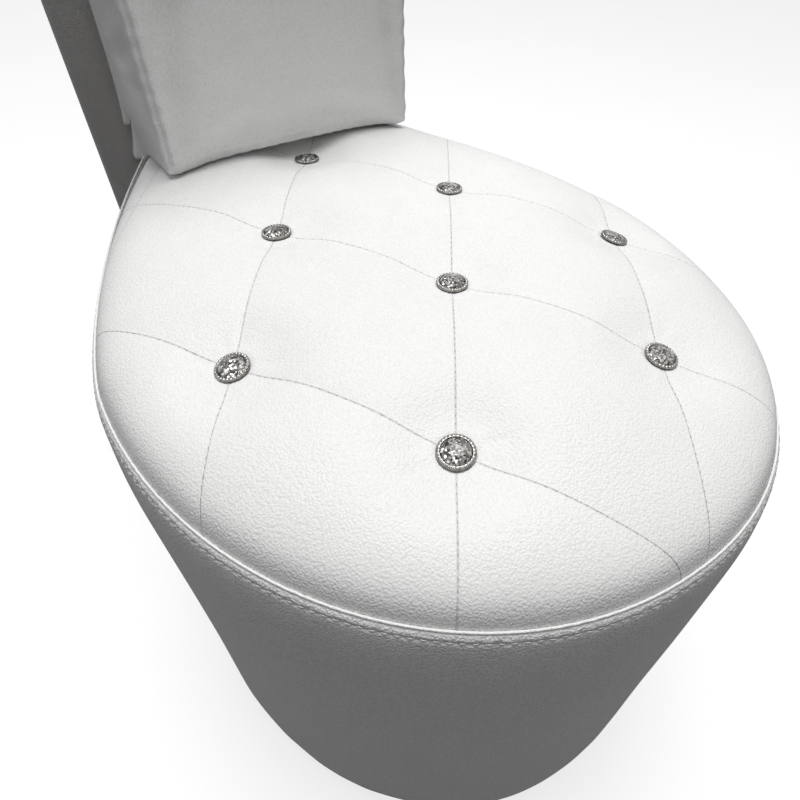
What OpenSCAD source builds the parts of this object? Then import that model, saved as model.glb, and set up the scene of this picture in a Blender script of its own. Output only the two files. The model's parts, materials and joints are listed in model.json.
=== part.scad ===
// Pedicure spa chair: an egg-shaped button-tufted seat on an upholstered drum, with a tall boxed back
// and a loose back cushion. The chair faces -Y. The origin is on the floor, under the middle of the
// chair's bounding box.

/* [Seat] */
// Width of the seat over its welt, at the widest line
seat_w = 518; // [470:2:580]
// Distance from the widest line to the front edge
seat_front = 318; // [280:2:370]
// Distance from the widest line to the back
seat_rear = 418; // [380:2:470]
// Width of the seat where it meets the back
tail_w = 246; // [220:2:280]
// How late the sides draw in towards the back
tail_power = 1.45; // [1.2:0.05:1.8]
// Squareness of the front's outline: 2 is an ellipse
nose_power = 2.1; // [2:0.05:2.5]
// Height of the seat's seam above the floor
seam_h = 440; // [400:5:480]
// Height of the crown above the seam
crown_h = 54; // [40:1:70]
// Fullness of the crown: higher is flatter with a tighter edge
crown_power = 4.6; // [2.4:0.1:5]
// Fall of the crown from the widest line to the back
tail_fall = 28; // [0:1:36]
// Diameter of the welts
welt_d = 7; // [5:0.5:9]

/* [Tufting] */
// Distance between two buttons of a row, across the chair
tuft_w = 174; // [150:2:200]
// Distance between two buttons of a column, along the chair
tuft_l = 276; // [240:2:310]
// Distance from the widest line forward to the middle button
tuft_shift = 57; // [40:1:75]
// Rise of the stuffed panels between the stitch lines
puff_h = 4; // [0:0.5:8]
// Depth of the dimple at a button
dimple_h = 9; // [4:0.5:14]
// Reach of a dimple round its button
dimple_r = 30; // [20:1:40]
// Diameter of a button's metal bezel
button_d = 25; // [20:1:30]
// Diameter of the twine that holds a button down
twine_d = 2; // [1.5:0.1:3]

/* [Side band] */
// How far the padded band stands proud of the seam
band_bulge = 8; // [4:0.5:11]
// How much the band draws in from top to bottom
band_taper = 6; // [0:0.5:10]
// Thickness of the band's foam
band_foam_t = 4; // [3:0.5:6]
// Thickness of the bent plywood wall
drum_wall_t = 6; // [4:0.5:9]

/* [Base] */
// Height of the plinth
plinth_h = 34; // [25:1:50]
// How far the plinth stands back from the outline
plinth_inset = 32; // [24:1:40]
// Thickness of the plinth's ring
plinth_t = 24; // [24:1:32]
// Thickness of the base board, the seat deck and the tail board
board_t = 18; // [15:1:22]
// Thickness of the seat's own board
seat_board_t = 15; // [12:1:18]
// Width of the seat deck's ring
deck_ring = 50; // [44:1:60]
// Side of the square posts
post_s = 40; // [35:1:48]
// Diameter of the glides
glide_d = 22; // [18:1:24]
// Height of the glides
glide_h = 6; // [5:0.5:9]

/* [Back] */
// Height of the back above the floor
back_h = 1090; // [1000:10:1180]
// Width of the back
back_w = 344; // [340:2:400]
// Depth of the back from front to rear
back_d = 100; // [92:1:130]
// Radius of the back's front corners, seen from above
back_corner_r = 32; // [30:1:42]
// Radius of the back's rear corners, seen from above
back_rear_r = 46; // [38:1:48]
// Radius of the back's top corners, seen from the front
back_top_r = 110; // [60:2:150]
// Thickness of the back's padded vinyl cover
cover_t = 6; // [4:0.5:8]
// Thickness of the liner that the cover is stretched over
liner_t = 4; // [3:0.5:6]
// Thickness of the board behind the back's pad
front_board_t = 12; // [10:1:16]
// Half width of the back's pad over most of its height
pad_half_w = 126; // [116:1:134]
// How much the pad widens on each side where it meets the seat
pad_flare = 24; // [10:1:26]
// Thickness of the pad at its edge
pad_edge_t = 14; // [12:1:16]
// Crown of the pad beyond its edge
pad_crown = 20; // [12:1:24]
// Margin of the back's cover above the pad
pad_margin = 48; // [30:1:70]
// Distance between the two buttons of the back's lower row
back_tuft_w = 174; // [150:2:190]
// Distance from the top of the back down to the top button
back_button_down = 90; // [80:2:110]
// Drop from the top button to the next row
back_button_drop = 80; // [60:5:110]

/* [Loose cushion] */
// Width of the loose cushion
cushion_w = 300; // [260:2:320]
// Depth of the loose cushion
cushion_d = 142; // [110:1:150]
// Height of the loose cushion
cushion_h = 380; // [320:5:420]
// Squareness of the cushion: higher is boxier
cushion_power = 9; // [4:0.5:10]

/* [Fits] */
// Gap between soft faces that rest against each other
soft_gap = 0.3; // [0.2:0.05:0.5]
// Radial clearance of a bolt or screw in its hole
bolt_gap = 0.05; // [0.03:0.01:0.1]
// Radial clearance of a twine in its hole
twine_gap = 1.5; // [1:0.1:2]

/* [Hidden] */
$fn = 48;

// Colours
vinyl_white = [0.93, 0.93, 0.92];
vinyl_grey = [0.30, 0.29, 0.28];
wood = [0.78, 0.63, 0.44];
dark_wood = [0.16, 0.13, 0.11];
foam = [0.92, 0.86, 0.62];
steel = [0.72, 0.73, 0.75];
nylon = [0.12, 0.12, 0.13];
crystal = [0.85, 0.90, 0.95, 0.7];

// Heights from the floor up
plinth_top = glide_h + plinth_h;
base_top = plinth_top + board_t;
pad_base = seam_h - welt_d / 2 - soft_gap;
seat_board_z = pad_base - seat_board_t;
deck_z = seat_board_z - board_t;

// The widest line's place: the chair's depth is centred on the origin
chair_front = seat_front + band_bulge;
chair_rear = seat_rear + back_d;
wide_y = (chair_front - chair_rear) / 2;

// ---- Outline of the seat ----
half_w = seat_w / 2;
front_steps = 40;
rear_steps = 10;

// Half width of the seam at a distance behind the widest line
function rear_half(y) = half_w - (half_w - tail_w / 2) * pow(y / seat_rear, tail_power);

// Point of the front's outline at an angle from the left, for the two half axes
function nose(a, b, f) = [
  -a * sign(cos(f)) * pow(abs(cos(f)), 2 / nose_power),
  -b * pow(sin(f), 2 / nose_power)
];

// The seam's line, moved in by off: from the left end round the front to the right end
function seat_line(off, end = seat_rear, fs = front_steps, rs = rear_steps) = concat(
  [for (i = [0 : rs - 1]) let (y = end * (1 - i / rs)) [off - rear_half(y), y]],
  [for (i = [0 : fs]) nose(half_w - off, seat_front - off, 180 * i / fs)],
  [for (i = [1 : rs]) let (y = end * i / rs) [rear_half(y) - off, y]]
);

function reversed(v) = [for (i = [len(v) - 1 : -1 : 0]) v[i]];
function flat(v) = [for (a = v) for (b = a) b];
function arc(cx, cy, r, from, to, n = 8) =
  [for (i = [0 : n]) let (t = from + (to - from) * i / n) [cx + r * cos(t), cy + r * sin(t)]];
function mix(a, b, t) = a + (b - a) * t;
function ease(t) = t <= 0 ? 0 : t >= 1 ? 1 : t * t * (3 - 2 * t);

// ---- Surface of the tufted seat ----
// 0 on the seat's middle, 1 on the seam
function rho(x, y) = y < 0
  ? pow(pow(abs(x) / half_w, nose_power) + pow(-y / seat_front, nose_power), 1 / nose_power)
  : abs(x) / rear_half(min(y, seat_rear));

// Every crossing of the stitch lines that lies inside the crown has a button
tuft_reach = 0.85;
seat_buttons = [
  for (u = [-1 : 1]) for (v = [-1 : 1])
    let (x = tuft_w * (u - v) / 2, y = tuft_l * (u + v) / 2 - tuft_shift)
      if (rho(x, y) < tuft_reach) [x, y]
];

// A dimple is flat under its button and rises round it
function dimple(d) = exp(-pow(max(d - button_d / 2, 0) / dimple_r, 2));
function dimples(x, y, spots, i = 0) = i == len(spots) ? 0 :
  dimple(norm([x, y] - spots[i])) + dimples(x, y, spots, i + 1);
function panel(u, v) = sqrt(abs(sin(180 * u) * sin(180 * v)));
function crown(x, y) =
  crown_h * (1 - pow(rho(x, y), crown_power)) - tail_fall * pow(max(y, 0) / seat_rear, 2);
function seat_z(x, y) = let (
    g = y + tuft_shift,
    u = x / tuft_w + g / tuft_l,
    v = g / tuft_l - x / tuft_w,
    inside = 1 - pow(min(rho(x, y), 1), 4)
  ) crown(x, y) + puff_h * panel(u, v) * inside - dimple_h * dimples(x, y, seat_buttons);

// Rings of the seat pad: its edge, drawn in towards a middle point
pad_off = welt_d + soft_gap;
pad_end = seat_rear - pad_edge_t - soft_gap;
pad_mid = 40;
pad_fs = 26;
pad_rs = 7;
pad_ts = 6;
pad_rings = 19;
function with_tail(line, end, n) = let (e = line[len(line) - 1][0]) concat(
  line, [for (i = [1 : n - 1]) [e - 2 * e * i / n, end]]
);
pad_edge = with_tail(seat_line(pad_off, pad_end, pad_fs, pad_rs), pad_end, pad_ts);
function drawn_in(line, s) = [for (p = line) [p[0] * s, pad_mid + (p[1] - pad_mid) * s]];
function at_z(line, z) = [for (p = line) [p[0], p[1], z]];
core_scale = 0.8;
core_h = 18;
core_edge = drawn_in(pad_edge, core_scale);
pad_top_rings = [
  for (k = [0 : pad_rings - 1]) let (s = 1 - k / pad_rings)
    [for (p = drawn_in(pad_edge, s)) [p[0], p[1], seam_h + seat_z(p[0], p[1])]]
];

// ---- Solids from rings of points ----
module shell_of(rings, low, high) {
  n = len(rings[0]);
  m = len(rings);
  polyhedron(
    points = concat(flat(rings), [low, high]),
    faces = concat(
      [for (k = [0 : m - 2]) for (i = [0 : n - 1]) let (a = k * n, j = (i + 1) % n)
        [a + i, a + j, a + n + i]],
      [for (k = [0 : m - 2]) for (i = [0 : n - 1]) let (a = k * n, j = (i + 1) % n)
        [a + j, a + n + j, a + n + i]],
      [for (i = [0 : n - 1]) [m * n, (i + 1) % n, i]],
      [for (i = [0 : n - 1]) [m * n + 1, (m - 1) * n + i, (m - 1) * n + (i + 1) % n]]
    )
  );
}

function mean(ring) =
  [for (c = [0 : 2]) let (s = [for (p = ring) p[c]]) s * [for (p = ring) 1] / len(ring)];

// A closed cross-section carried along a line, capped at both ends
module strip_of(sections) {
  shell_of(sections, mean(sections[0]), mean(sections[len(sections) - 1]));
}

// Outward direction of a line at one of its points
function across(line, i) = let (
    a = line[max(i - 1, 0)],
    b = line[min(i + 1, len(line) - 1)],
    d = b - a
  ) [d[1], -d[0]] / norm(d);

// A round cord along a line that lies in the plane z = 0
module cord_along(line, d, sides = 8) {
  strip_of([
    for (i = [0 : len(line) - 1]) let (n = across(line, i))
      [for (k = [0 : sides - 1]) let (t = 360 * k / sides, q = line[i] + n * cos(t) * d / 2)
        [q[0], q[1], sin(t) * d / 2]]
  ]);
}

// A wall that follows the seat's line between two offsets
module line_wall(outer, inner, h) {
  linear_extrude(height = h) polygon(concat(seat_line(outer), reversed(seat_line(inner))));
}

// ---- Fasteners ----
bolt_d = 8;
bolt_head_h = 5.3;
bolt_head_d = 15;
washer_d = 20;
washer_t = 1.6;
nut_h = 6.5;
screw_d = 5;
screw_head_d = 10;
screw_head_h = 3;

// Bolt whose head stands below z = 0 and whose shank goes up
module bolt(length) {
  translate([0, 0, -bolt_head_h]) cylinder(d = bolt_head_d, h = bolt_head_h, $fn = 6);
  cylinder(d = bolt_d, h = length);
}

module washer() {
  difference() {
    cylinder(d = washer_d, h = washer_t);
    translate([0, 0, -1]) cylinder(d = bolt_d + 2 * bolt_gap, h = washer_t + 2);
  }
}

module hex_nut() {
  difference() {
    cylinder(d = bolt_head_d, h = nut_h, $fn = 6);
    translate([0, 0, -1]) cylinder(d = bolt_d + 2 * bolt_gap, h = nut_h + 2);
  }
}

// Countersunk screw, head flush with z = 0 and pointing down
module screw(length, gap = 0) {
  rotate_extrude() polygon([
    [0, 0],
    [screw_head_d / 2 + gap, 0],
    [screw_d / 2 + gap, -screw_head_h],
    [screw_d / 2 + gap, -length],
    [0, -length]
  ]);
}

// ---- Base ----
// Everything below is placed in the seat's frame, whose y = 0 is the widest line
module in_place(z = 0) {
  translate([0, wide_y, z]) children();
}

// Outline of the back seen from above, moved in by off
function back_plan(off) = let (
    hb = back_w / 2 - off,
    y0 = seat_rear + off,
    y1 = seat_rear + back_d - off,
    rf = back_corner_r - off,
    rr = back_rear_r - off
  ) concat(
    arc(rf - hb, y0 + rf, rf, 180, 270),
    arc(hb - rf, y0 + rf, rf, 270, 360),
    arc(hb - rr, y1 - rr, rr, 0, 90),
    arc(rr - hb, y1 - rr, rr, 90, 180)
  );

// Ground plan of drum and back together, moved in by off
module footprint(off) {
  polygon(seat_line(off));
  translate([off - tail_w / 2, seat_rear - board_t])
    square([tail_w - 2 * off, board_t + back_d / 2]);
  polygon(back_plan(min(off, back_corner_r - 1)));
}

band_skin_in = 2;
board_inset = cover_t + soft_gap;
wall_in = band_skin_in + band_foam_t + drum_wall_t;
line_steps = rear_steps * 2 + front_steps;
plinth_mid = plinth_inset + plinth_t / 2;
glide_line = seat_line(plinth_mid);
glide_count = 5;
glide_spots = concat(
  [for (i = [0 : glide_count - 1]) glide_line[round(line_steps * (0.1 + 0.8 * i / (glide_count - 1)))]],
  [for (s = [-1, 1]) [s * (back_w / 2 - plinth_inset - plinth_t), seat_rear + back_d - plinth_mid]]
);
nail_d = 3;
nail_l = 22;
nail_head_d = 8;
nail_head_h = 1.5;
nail_sink = 2;

module glides() {
  color(nylon) in_place() for (p = glide_spots) translate([p[0], p[1], 0]) difference() {
    rotate_extrude() polygon([
      [0, 0],
      [glide_d / 2 - 2, 0],
      [glide_d / 2, 2],
      [glide_d / 2, glide_h],
      [0, glide_h]
    ]);
    translate([0, 0, -1]) cylinder(d = nail_d + 2 * bolt_gap, h = glide_h + 2);
    translate([0, 0, -1]) cylinder(d = nail_head_d + 2 * bolt_gap, h = nail_sink + nail_head_h + 1);
  }
}

module nail_holes() {
  for (p = glide_spots) translate([p[0], p[1], glide_h - 1])
    cylinder(d = nail_d + 2 * bolt_gap, h = nail_l + 1);
}

module glide_nails() {
  color(steel) in_place() for (p = glide_spots) translate([p[0], p[1], nail_sink]) {
    cylinder(d = nail_head_d, h = nail_head_h);
    cylinder(d = nail_d, h = nail_l);
  }
}

module plinth() {
  color(dark_wood) in_place() difference() {
    translate([0, 0, glide_h]) linear_extrude(height = plinth_h) difference() {
      plinth_plan(plinth_inset);
      plinth_plan(plinth_inset + plinth_t);
    }
    nail_holes();
  }
}

// The plinth's plan: the drum's outline with a straight tail under the back
module plinth_plan(off) {
  polygon(seat_line(off));
  translate([off - back_w / 2, seat_rear - back_d])
    square([back_w - 2 * off, back_d * 2 - off]);
}

// Posts stand just inside the drum's wall
post_room = 4;
post_off = wall_in + post_room + post_s / 2;
post_line = seat_line(post_off);
post_count = 6;
function post_index(i) = round(line_steps * (0.06 + 0.88 * i / (post_count - 1)));
post_spots = [for (i = [0 : post_count - 1]) post_line[post_index(i)]];
function post_turn(i) = let (n = across(post_line, post_index(i))) atan2(n[1], n[0]);
back_post_d = 50;
back_post_room = 18;
back_post_x = back_w / 2 - cover_t - liner_t - back_post_room - post_s / 2;
back_post_y = seat_rear + cover_t + front_board_t + back_post_d / 2;
back_post_spots = [for (s = [-1, 1]) [s * back_post_x, back_post_y]];
base_screw_l = 60;

module at_posts() {
  for (p = concat(post_spots, back_post_spots)) translate(p) children();
}

module base_screw_holes(gap) {
  at_posts() translate([0, 0, plinth_top]) mirror([0, 0, 1]) screw(base_screw_l, gap);
}

module base_board() {
  color(wood) in_place() difference() {
    translate([0, 0, plinth_top]) linear_extrude(height = board_t) footprint(board_inset);
    base_screw_holes(bolt_gap);
  }
}

module base_screws() {
  color(steel) in_place() base_screw_holes(0);
}

deck_screw_l = 55;
module deck_screw_holes(gap) {
  for (p = post_spots) translate([p[0], p[1], seat_board_z]) screw(deck_screw_l, gap);
}

module drum_posts() {
  color(wood) in_place() difference() {
    for (i = [0 : post_count - 1])
      translate([post_spots[i][0], post_spots[i][1], base_top]) rotate(post_turn(i))
        translate([-post_s / 2, -post_s / 2, 0]) cube([post_s, post_s, deck_z - base_top]);
    base_screw_holes(bolt_gap);
    deck_screw_holes(bolt_gap);
  }
}

module drum_wall() {
  color(wood) in_place(base_top) line_wall(wall_in - drum_wall_t, wall_in, seat_board_z - base_top);
}

// ---- Joint of drum and back ----
tail_half = tail_w / 2 - wall_in;
tail_window = tail_half + 2;
bolt_end = 4;
tail_bolt_l = board_t + front_board_t + 2 * washer_t + nut_h + bolt_end;
tail_bolt_in = 38;
tail_bolt_spots = [
  for (x = [-1, 1]) for (z = [0.3, 0.8])
    [x * (tail_half - tail_bolt_in), mix(base_top, deck_z, z)]
];
tail_y = seat_rear + cover_t - board_t;

module at_tail_bolts(y) {
  for (p = tail_bolt_spots) translate([p[0], y, p[1]]) rotate([-90, 0, 0]) children();
}

module tail_bolt_holes() {
  at_tail_bolts(tail_y - 1) cylinder(d = bolt_d + 2 * bolt_gap, h = board_t + front_board_t + 2);
}

module tail_board() {
  color(wood) in_place() difference() {
    translate([-tail_half, tail_y, base_top]) cube([2 * tail_half, board_t, deck_z - base_top]);
    tail_bolt_holes();
  }
}

module tail_bolts() {
  color(steel) in_place() at_tail_bolts(tail_y - washer_t) bolt(tail_bolt_l);
}

module tail_washers() {
  color(steel) in_place() {
    at_tail_bolts(tail_y - washer_t) washer();
    at_tail_bolts(tail_y + board_t + front_board_t) washer();
  }
}

module tail_nuts() {
  color(steel) in_place() at_tail_bolts(tail_y + board_t + front_board_t + washer_t) hex_nut();
}

// ---- Seat ----
seat_bolt_in = 6;
seat_bolt_line = seat_line(wall_in + deck_ring / 2 + seat_bolt_in);
seat_bolt_spots = [for (f = [0.13, 0.38, 0.62, 0.87]) seat_bolt_line[round(line_steps * f)]];
tee_flange_d = 19;
tee_flange_h = 1.5;
tee_barrel_d = 10;
tee_barrel_h = 9;
seat_bolt_l = washer_t + board_t + seat_board_t - 3;

module at_seat_bolts(z) {
  for (p = seat_bolt_spots) translate([p[0], p[1], z]) children();
}

module seat_deck() {
  color(wood) in_place() difference() {
    translate([0, 0, deck_z]) linear_extrude(height = board_t) difference() {
      polygon(seat_line(wall_in));
      polygon(seat_line(wall_in + deck_ring, seat_rear - deck_ring));
    }
    at_seat_bolts(deck_z - 1) cylinder(d = bolt_d + 2 * bolt_gap, h = board_t + 2);
    for (p = seat_buttons) translate([p[0], p[1], deck_z - 1])
      cylinder(d = anchor_d + 2 * twine_gap, h = board_t + 2);
    deck_screw_holes(bolt_gap);
  }
}

module deck_screws() {
  color(steel) in_place() deck_screw_holes(0);
}

module twine_holes(z, h) {
  for (p = seat_buttons) translate([p[0], p[1], z]) cylinder(d = twine_d + 2 * twine_gap, h = h);
}

module seat_board() {
  color(wood) in_place() difference() {
    translate([0, 0, seat_board_z]) linear_extrude(height = seat_board_t)
      polygon(seat_line(wall_in - drum_wall_t));
    twine_holes(seat_board_z - 1, seat_board_t + 2);
    at_seat_bolts(seat_board_z - 1) cylinder(d = tee_barrel_d + 2 * bolt_gap, h = seat_board_t + 2);
    at_seat_bolts(pad_base - tee_flange_h - bolt_gap)
      cylinder(d = tee_flange_d + 2 * bolt_gap, h = tee_flange_h + 1);
  }
}

module seat_bolts() {
  color(steel) in_place() at_seat_bolts(deck_z - washer_t) bolt(seat_bolt_l);
}

module seat_washers() {
  color(steel) in_place() at_seat_bolts(deck_z - washer_t) washer();
}

module tee_nuts() {
  color(steel) in_place() at_seat_bolts(pad_base - tee_flange_h) difference() {
    union() {
      cylinder(d = tee_flange_d, h = tee_flange_h);
      translate([0, 0, -tee_barrel_h]) cylinder(d = tee_barrel_d, h = tee_barrel_h + 0.1);
    }
    translate([0, 0, -tee_barrel_h - 1]) cylinder(d = bolt_d + 2 * bolt_gap, h = tee_barrel_h + 3);
  }
}

module seat_core() {
  color(foam) in_place() difference() {
    translate([0, 0, pad_base]) linear_extrude(height = core_h) polygon(core_edge);
    twine_holes(pad_base - 1, core_h + 2);
  }
}

// The pad sits over the firm core like a lid, so its underside has a pocket
pocket_edge = drawn_in(pad_edge, core_scale + soft_gap / (seat_w / 2));
pocket_z = pad_base + core_h + soft_gap;

module seat_pad() {
  color(vinyl_white) in_place() shell_of(
    concat(
      [at_z(pocket_edge, pocket_z), at_z(pocket_edge, pad_base), at_z(pad_edge, pad_base)],
      pad_top_rings
    ),
    [0, pad_mid, pocket_z],
    [0, pad_mid, seam_h + seat_z(0, pad_mid)]
  );
}

// The welt's ends stop just short of the back, as they run up to it at a slant
module seat_welt() {
  color(vinyl_white) in_place(seam_h) cord_along(seat_line(welt_d / 2, pad_end - welt_d / 3), welt_d);
}

// ---- Side band ----
// Band and foam hang over the edge of the base board
band_depth = pad_base - plinth_top;
band_rows = [0, 0.008, 0.02, 0.035, 0.06, 0.11, 0.22, 0.42, 0.7, 1];
band_roll = 8;
function band_off(d) = band_taper * d / band_depth - band_bulge * (1 - exp(-d / band_roll));

module band_foam() {
  color(foam) in_place(plinth_top) line_wall(band_skin_in, band_skin_in + band_foam_t, band_depth);
}

module side_band() {
  lines = concat(
    [for (r = band_rows) at_z(seat_line(band_off(r * band_depth)), pad_base - r * band_depth)],
    [at_z(seat_line(band_skin_in), plinth_top), at_z(seat_line(band_skin_in), pad_base)]
  );
  color(vinyl_white) in_place()
    strip_of([for (i = [0 : len(lines[0]) - 1]) [for (k = [len(lines) - 1 : -1 : 0]) lines[k][i]]]);
}

// ---- Buttons ----
bezel_h = 4.6;
// Width of the rim; its roll and chamfers are shares of it
bezel_lip = 2.6;
bezel_floor = 1.4;
crystal_r = button_d / 2 - bezel_lip;
shank_d = 5;
shank_h = 3;

// Metal bezel: a cup with a rolled rim, and an eyelet stub below
module bezel() {
  r = button_d / 2;
  rotate_extrude() polygon([
    [0, -shank_h],
    [shank_d / 2, -shank_h],
    [shank_d / 2, 0],
    [r - 0.4 * bezel_lip, 0],
    [r, 0.45 * bezel_lip],
    [r - 0.15 * bezel_lip, bezel_h - 0.35 * bezel_lip],
    [r - 0.5 * bezel_lip, bezel_h],
    [r - 0.85 * bezel_lip, bezel_h - 0.25 * bezel_lip],
    [crystal_r + bolt_gap, bezel_floor + 0.25 * bezel_lip],
    [crystal_r + bolt_gap, bezel_floor],
    [0, bezel_floor]
  ]);
}

// Cut crystal: a girdle, a ring of crown facets and a flat table
crystal_sides = 8;
crystal_cuts = [[1, 0, 0], [1, 0.8, 0], [0.86, 2.6, 0.5], [0.48, 4.4, 1]];
module cut_crystal() {
  shell_of(
    [for (c = crystal_cuts) [for (i = [0 : crystal_sides - 1])
      let (t = 360 * (i + c[2]) / crystal_sides)
        [crystal_r * c[0] * cos(t), crystal_r * c[0] * sin(t), bezel_floor + c[1]]]],
    [0, 0, bezel_floor],
    [0, 0, bezel_floor + crystal_cuts[3][1]]
  );
}

// Each seat button leans with the crown under it
slope_step = 5;
button_sink = 0.5;
module at_seat_buttons() {
  for (p = seat_buttons) {
    sx = (crown(p[0] + slope_step, p[1]) - crown(p[0] - slope_step, p[1])) / (2 * slope_step);
    sy = (crown(p[0], p[1] + slope_step) - crown(p[0], p[1] - slope_step)) / (2 * slope_step);
    translate([p[0], p[1], seam_h + seat_z(p[0], p[1]) - button_sink + bezel_floor])
      rotate([atan(sy), -atan(sx), 0]) children();
  }
}

module button_bezels() {
  color(steel) in_place() at_seat_buttons() bezel();
}

module button_crystals() {
  color(crystal) in_place() at_seat_buttons() translate([0, 0, bolt_gap]) cut_crystal();
}

anchor_d = 16;
anchor_h = 3;
module anchor() {
  difference() {
    cylinder(d = anchor_d, h = anchor_h);
    translate([0, 0, -1]) cylinder(d = twine_d + 2 * bolt_gap, h = anchor_h + 2);
  }
}

module tuft_twines() {
  color(nylon) in_place() for (p = seat_buttons) {
    top = seam_h + seat_z(p[0], p[1]) - button_sink - shank_h;
    translate([p[0], p[1], seat_board_z - anchor_h - 2])
      cylinder(d = twine_d, h = top - (seat_board_z - anchor_h - 2));
  }
}

module tuft_anchors() {
  color(nylon) in_place(seat_board_z - anchor_h) for (p = seat_buttons) translate(p) anchor();
}

// ---- Back ----
// Front view of the back, moved in by off: its top corners are round
arch_spread = 3;
function back_face(off, bottom) = let (
    hb = back_w / 2 - off + arch_spread,
    top = back_h - off,
    r = back_top_r - off
  ) concat(
    [[-hb, bottom], [hb, bottom]],
    arc(hb - r, top - r, r, 0, 90, 12),
    arc(r - hb, top - r, r, 90, 180, 12)
  );

module back_block(off, bottom) {
  intersection() {
    translate([0, 0, bottom]) linear_extrude(height = back_h - bottom) polygon(back_plan(off));
    translate([0, seat_rear + back_d + 1, 0]) rotate([90, 0, 0])
      linear_extrude(height = back_d + 2) polygon(back_face(off, bottom - 1));
  }
}

rear_split_y = seat_rear + back_d - back_rear_r;
module back_skin() {
  difference() {
    back_block(0, plinth_top);
    back_block(cover_t, plinth_top - 1);
  }
}

// The cover is cut away behind the drum, where the boards meet, and over the base board's neck
module back_cover() {
  color(vinyl_grey) in_place() difference() {
    back_skin();
    translate([-back_w, rear_split_y, 0]) cube([2 * back_w, back_d, back_h + 1]);
    translate([-tail_window, seat_rear - 1, base_top - 1])
      cube([2 * tail_window, cover_t + 2, seat_board_z - base_top + 1]);
    translate([-tail_w / 2, seat_rear - 1, plinth_top - 1]) cube([tail_w, cover_t + 2, board_t + 1]);
    back_twine_holes(cover_t + 2);
  }
}

module rear_panel() {
  color(vinyl_grey) in_place() intersection() {
    back_skin();
    translate([-back_w, rear_split_y, 0]) cube([2 * back_w, back_d, back_h + 1]);
  }
}

front_board_y = seat_rear + cover_t;
liner_y = front_board_y + front_board_t;
module back_liner() {
  color(wood) in_place() intersection() {
    difference() {
      back_block(cover_t, base_top);
      back_block(cover_t + liner_t, base_top - 1);
    }
    translate([-back_w, liner_y, 0]) cube([2 * back_w, back_d, back_h + 1]);
  }
}

module front_board() {
  color(wood) in_place() difference() {
    intersection() {
      back_block(cover_t, base_top);
      translate([-back_w, front_board_y - 1, 0]) cube([2 * back_w, front_board_t + 1, back_h + 1]);
    }
    tail_bolt_holes();
    back_twine_holes(cover_t + front_board_t + 2);
  }
}

// Posts stop under the round corners of the top
back_post_top = back_h - back_top_r;
rail_h = 70;
rail_t = 25;
low_rail_up = 60;
seat_rail_down = 40;
mid_rail_up = 260;
rail_levels = [
  base_top + low_rail_up,
  seam_h - seat_rail_down,
  seam_h + mid_rail_up,
  back_post_top - rail_h
];
rail_screw_l = 70;

module rail_screw_holes(gap) {
  for (z = rail_levels) for (s = [-1, 1])
    translate([s * (back_post_x + post_s / 2), back_post_y, z + rail_h / 2])
      rotate([0, s * 90, 0]) screw(rail_screw_l, gap);
}

module back_posts() {
  color(wood) in_place() difference() {
    for (p = back_post_spots) translate([p[0] - post_s / 2, p[1] - back_post_d / 2, base_top])
      cube([post_s, back_post_d, back_post_top - base_top]);
    base_screw_holes(bolt_gap);
    rail_screw_holes(bolt_gap);
  }
}

module back_rails() {
  span = 2 * back_post_x - post_s;
  color(wood) in_place() difference() {
    for (z = rail_levels) translate([-span / 2, back_post_y - rail_t / 2, z]) cube([span, rail_t, rail_h]);
    rail_screw_holes(bolt_gap);
  }
}

module rail_screws() {
  color(steel) in_place() rail_screw_holes(0);
}

// ---- The back's pad: seen from the front, its edge flares out at the seat ----
flare_reach = 40;
pad_low = -welt_d / 2 - soft_gap;
pad_high = back_h - seam_h - pad_margin;
pad_top_r = 70;
back_buttons = concat(
  [[0, back_h - back_button_down]],
  [for (s = [-1, 1]) [s * back_tuft_w / 2, back_h - back_button_down - back_button_drop]]
);
back_rows = 26;
back_cols = 14;
top_rows = 6;
pad_bend = pad_high - pad_top_r;
function pad_half(z) = z < pad_bend
  ? pad_half_w + pad_flare * exp(-max(z, 0) / flare_reach)
  : pad_half_w - pad_top_r + sqrt(max(pow(pad_top_r, 2) - pow(z - pad_bend, 2), 0));
pad_levels = concat(
  [for (i = [0 : back_rows]) mix(pad_low, pad_bend, i / back_rows)],
  [for (i = [1 : top_rows]) pad_bend + pad_top_r * sin(90 * i / top_rows)]
);
crown_start = 62;
crown_run = 90;
// How far the pad's face stands out of the back, at c = -1 to 1 across it
function pad_face(c, z) = let (
    x = c * pad_half(z),
    g = z + seam_h - back_buttons[0][1],
    u = x / back_tuft_w + g / (2 * back_button_drop),
    v = g / (2 * back_button_drop) - x / back_tuft_w,
    rise = ease((z - crown_start) / crown_run),
    fall = 1 - pow(max((z - pad_bend) / pad_top_r, 0), 3),
    edge = 1 - pow(abs(c), 5)
  ) pad_edge_t + rise * fall * edge
    * (pad_crown - dimple_h * dimples(x, z + seam_h, back_buttons) - puff_h * (1 - panel(u, v)));

// Drawn in the plane z = 0 and stood up against the back
module upright(y) {
  in_place(seam_h) translate([0, y, 0]) rotate([90, 0, 0]) children();
}

module back_pad() {
  color(vinyl_white) upright(seat_rear) strip_of([
    for (z = pad_levels) concat(
      [[pad_half(z), z, 0]],
      [for (i = [0 : back_cols]) let (c = 1 - 2 * i / back_cols) [c * pad_half(z), z, pad_face(c, z)]],
      [[-pad_half(z), z, 0]]
    )
  ]);
}

// The welt runs up one side of the pad, over the top and down the other
welt_out = welt_d / 2 + soft_gap;
welt_start = crown_h - tail_fall + welt_d;
welt_side = [for (z = pad_levels) if (z > welt_start && z < pad_bend) [pad_half(z) + welt_out, z]];
welt_top = arc(pad_half_w - pad_top_r, pad_bend, pad_top_r + welt_out, 0, 90);
welt_right = concat(welt_side, welt_top);
back_welt_line = concat(welt_right, reversed([for (p = welt_right) [-p[0], p[1]]]));

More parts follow.
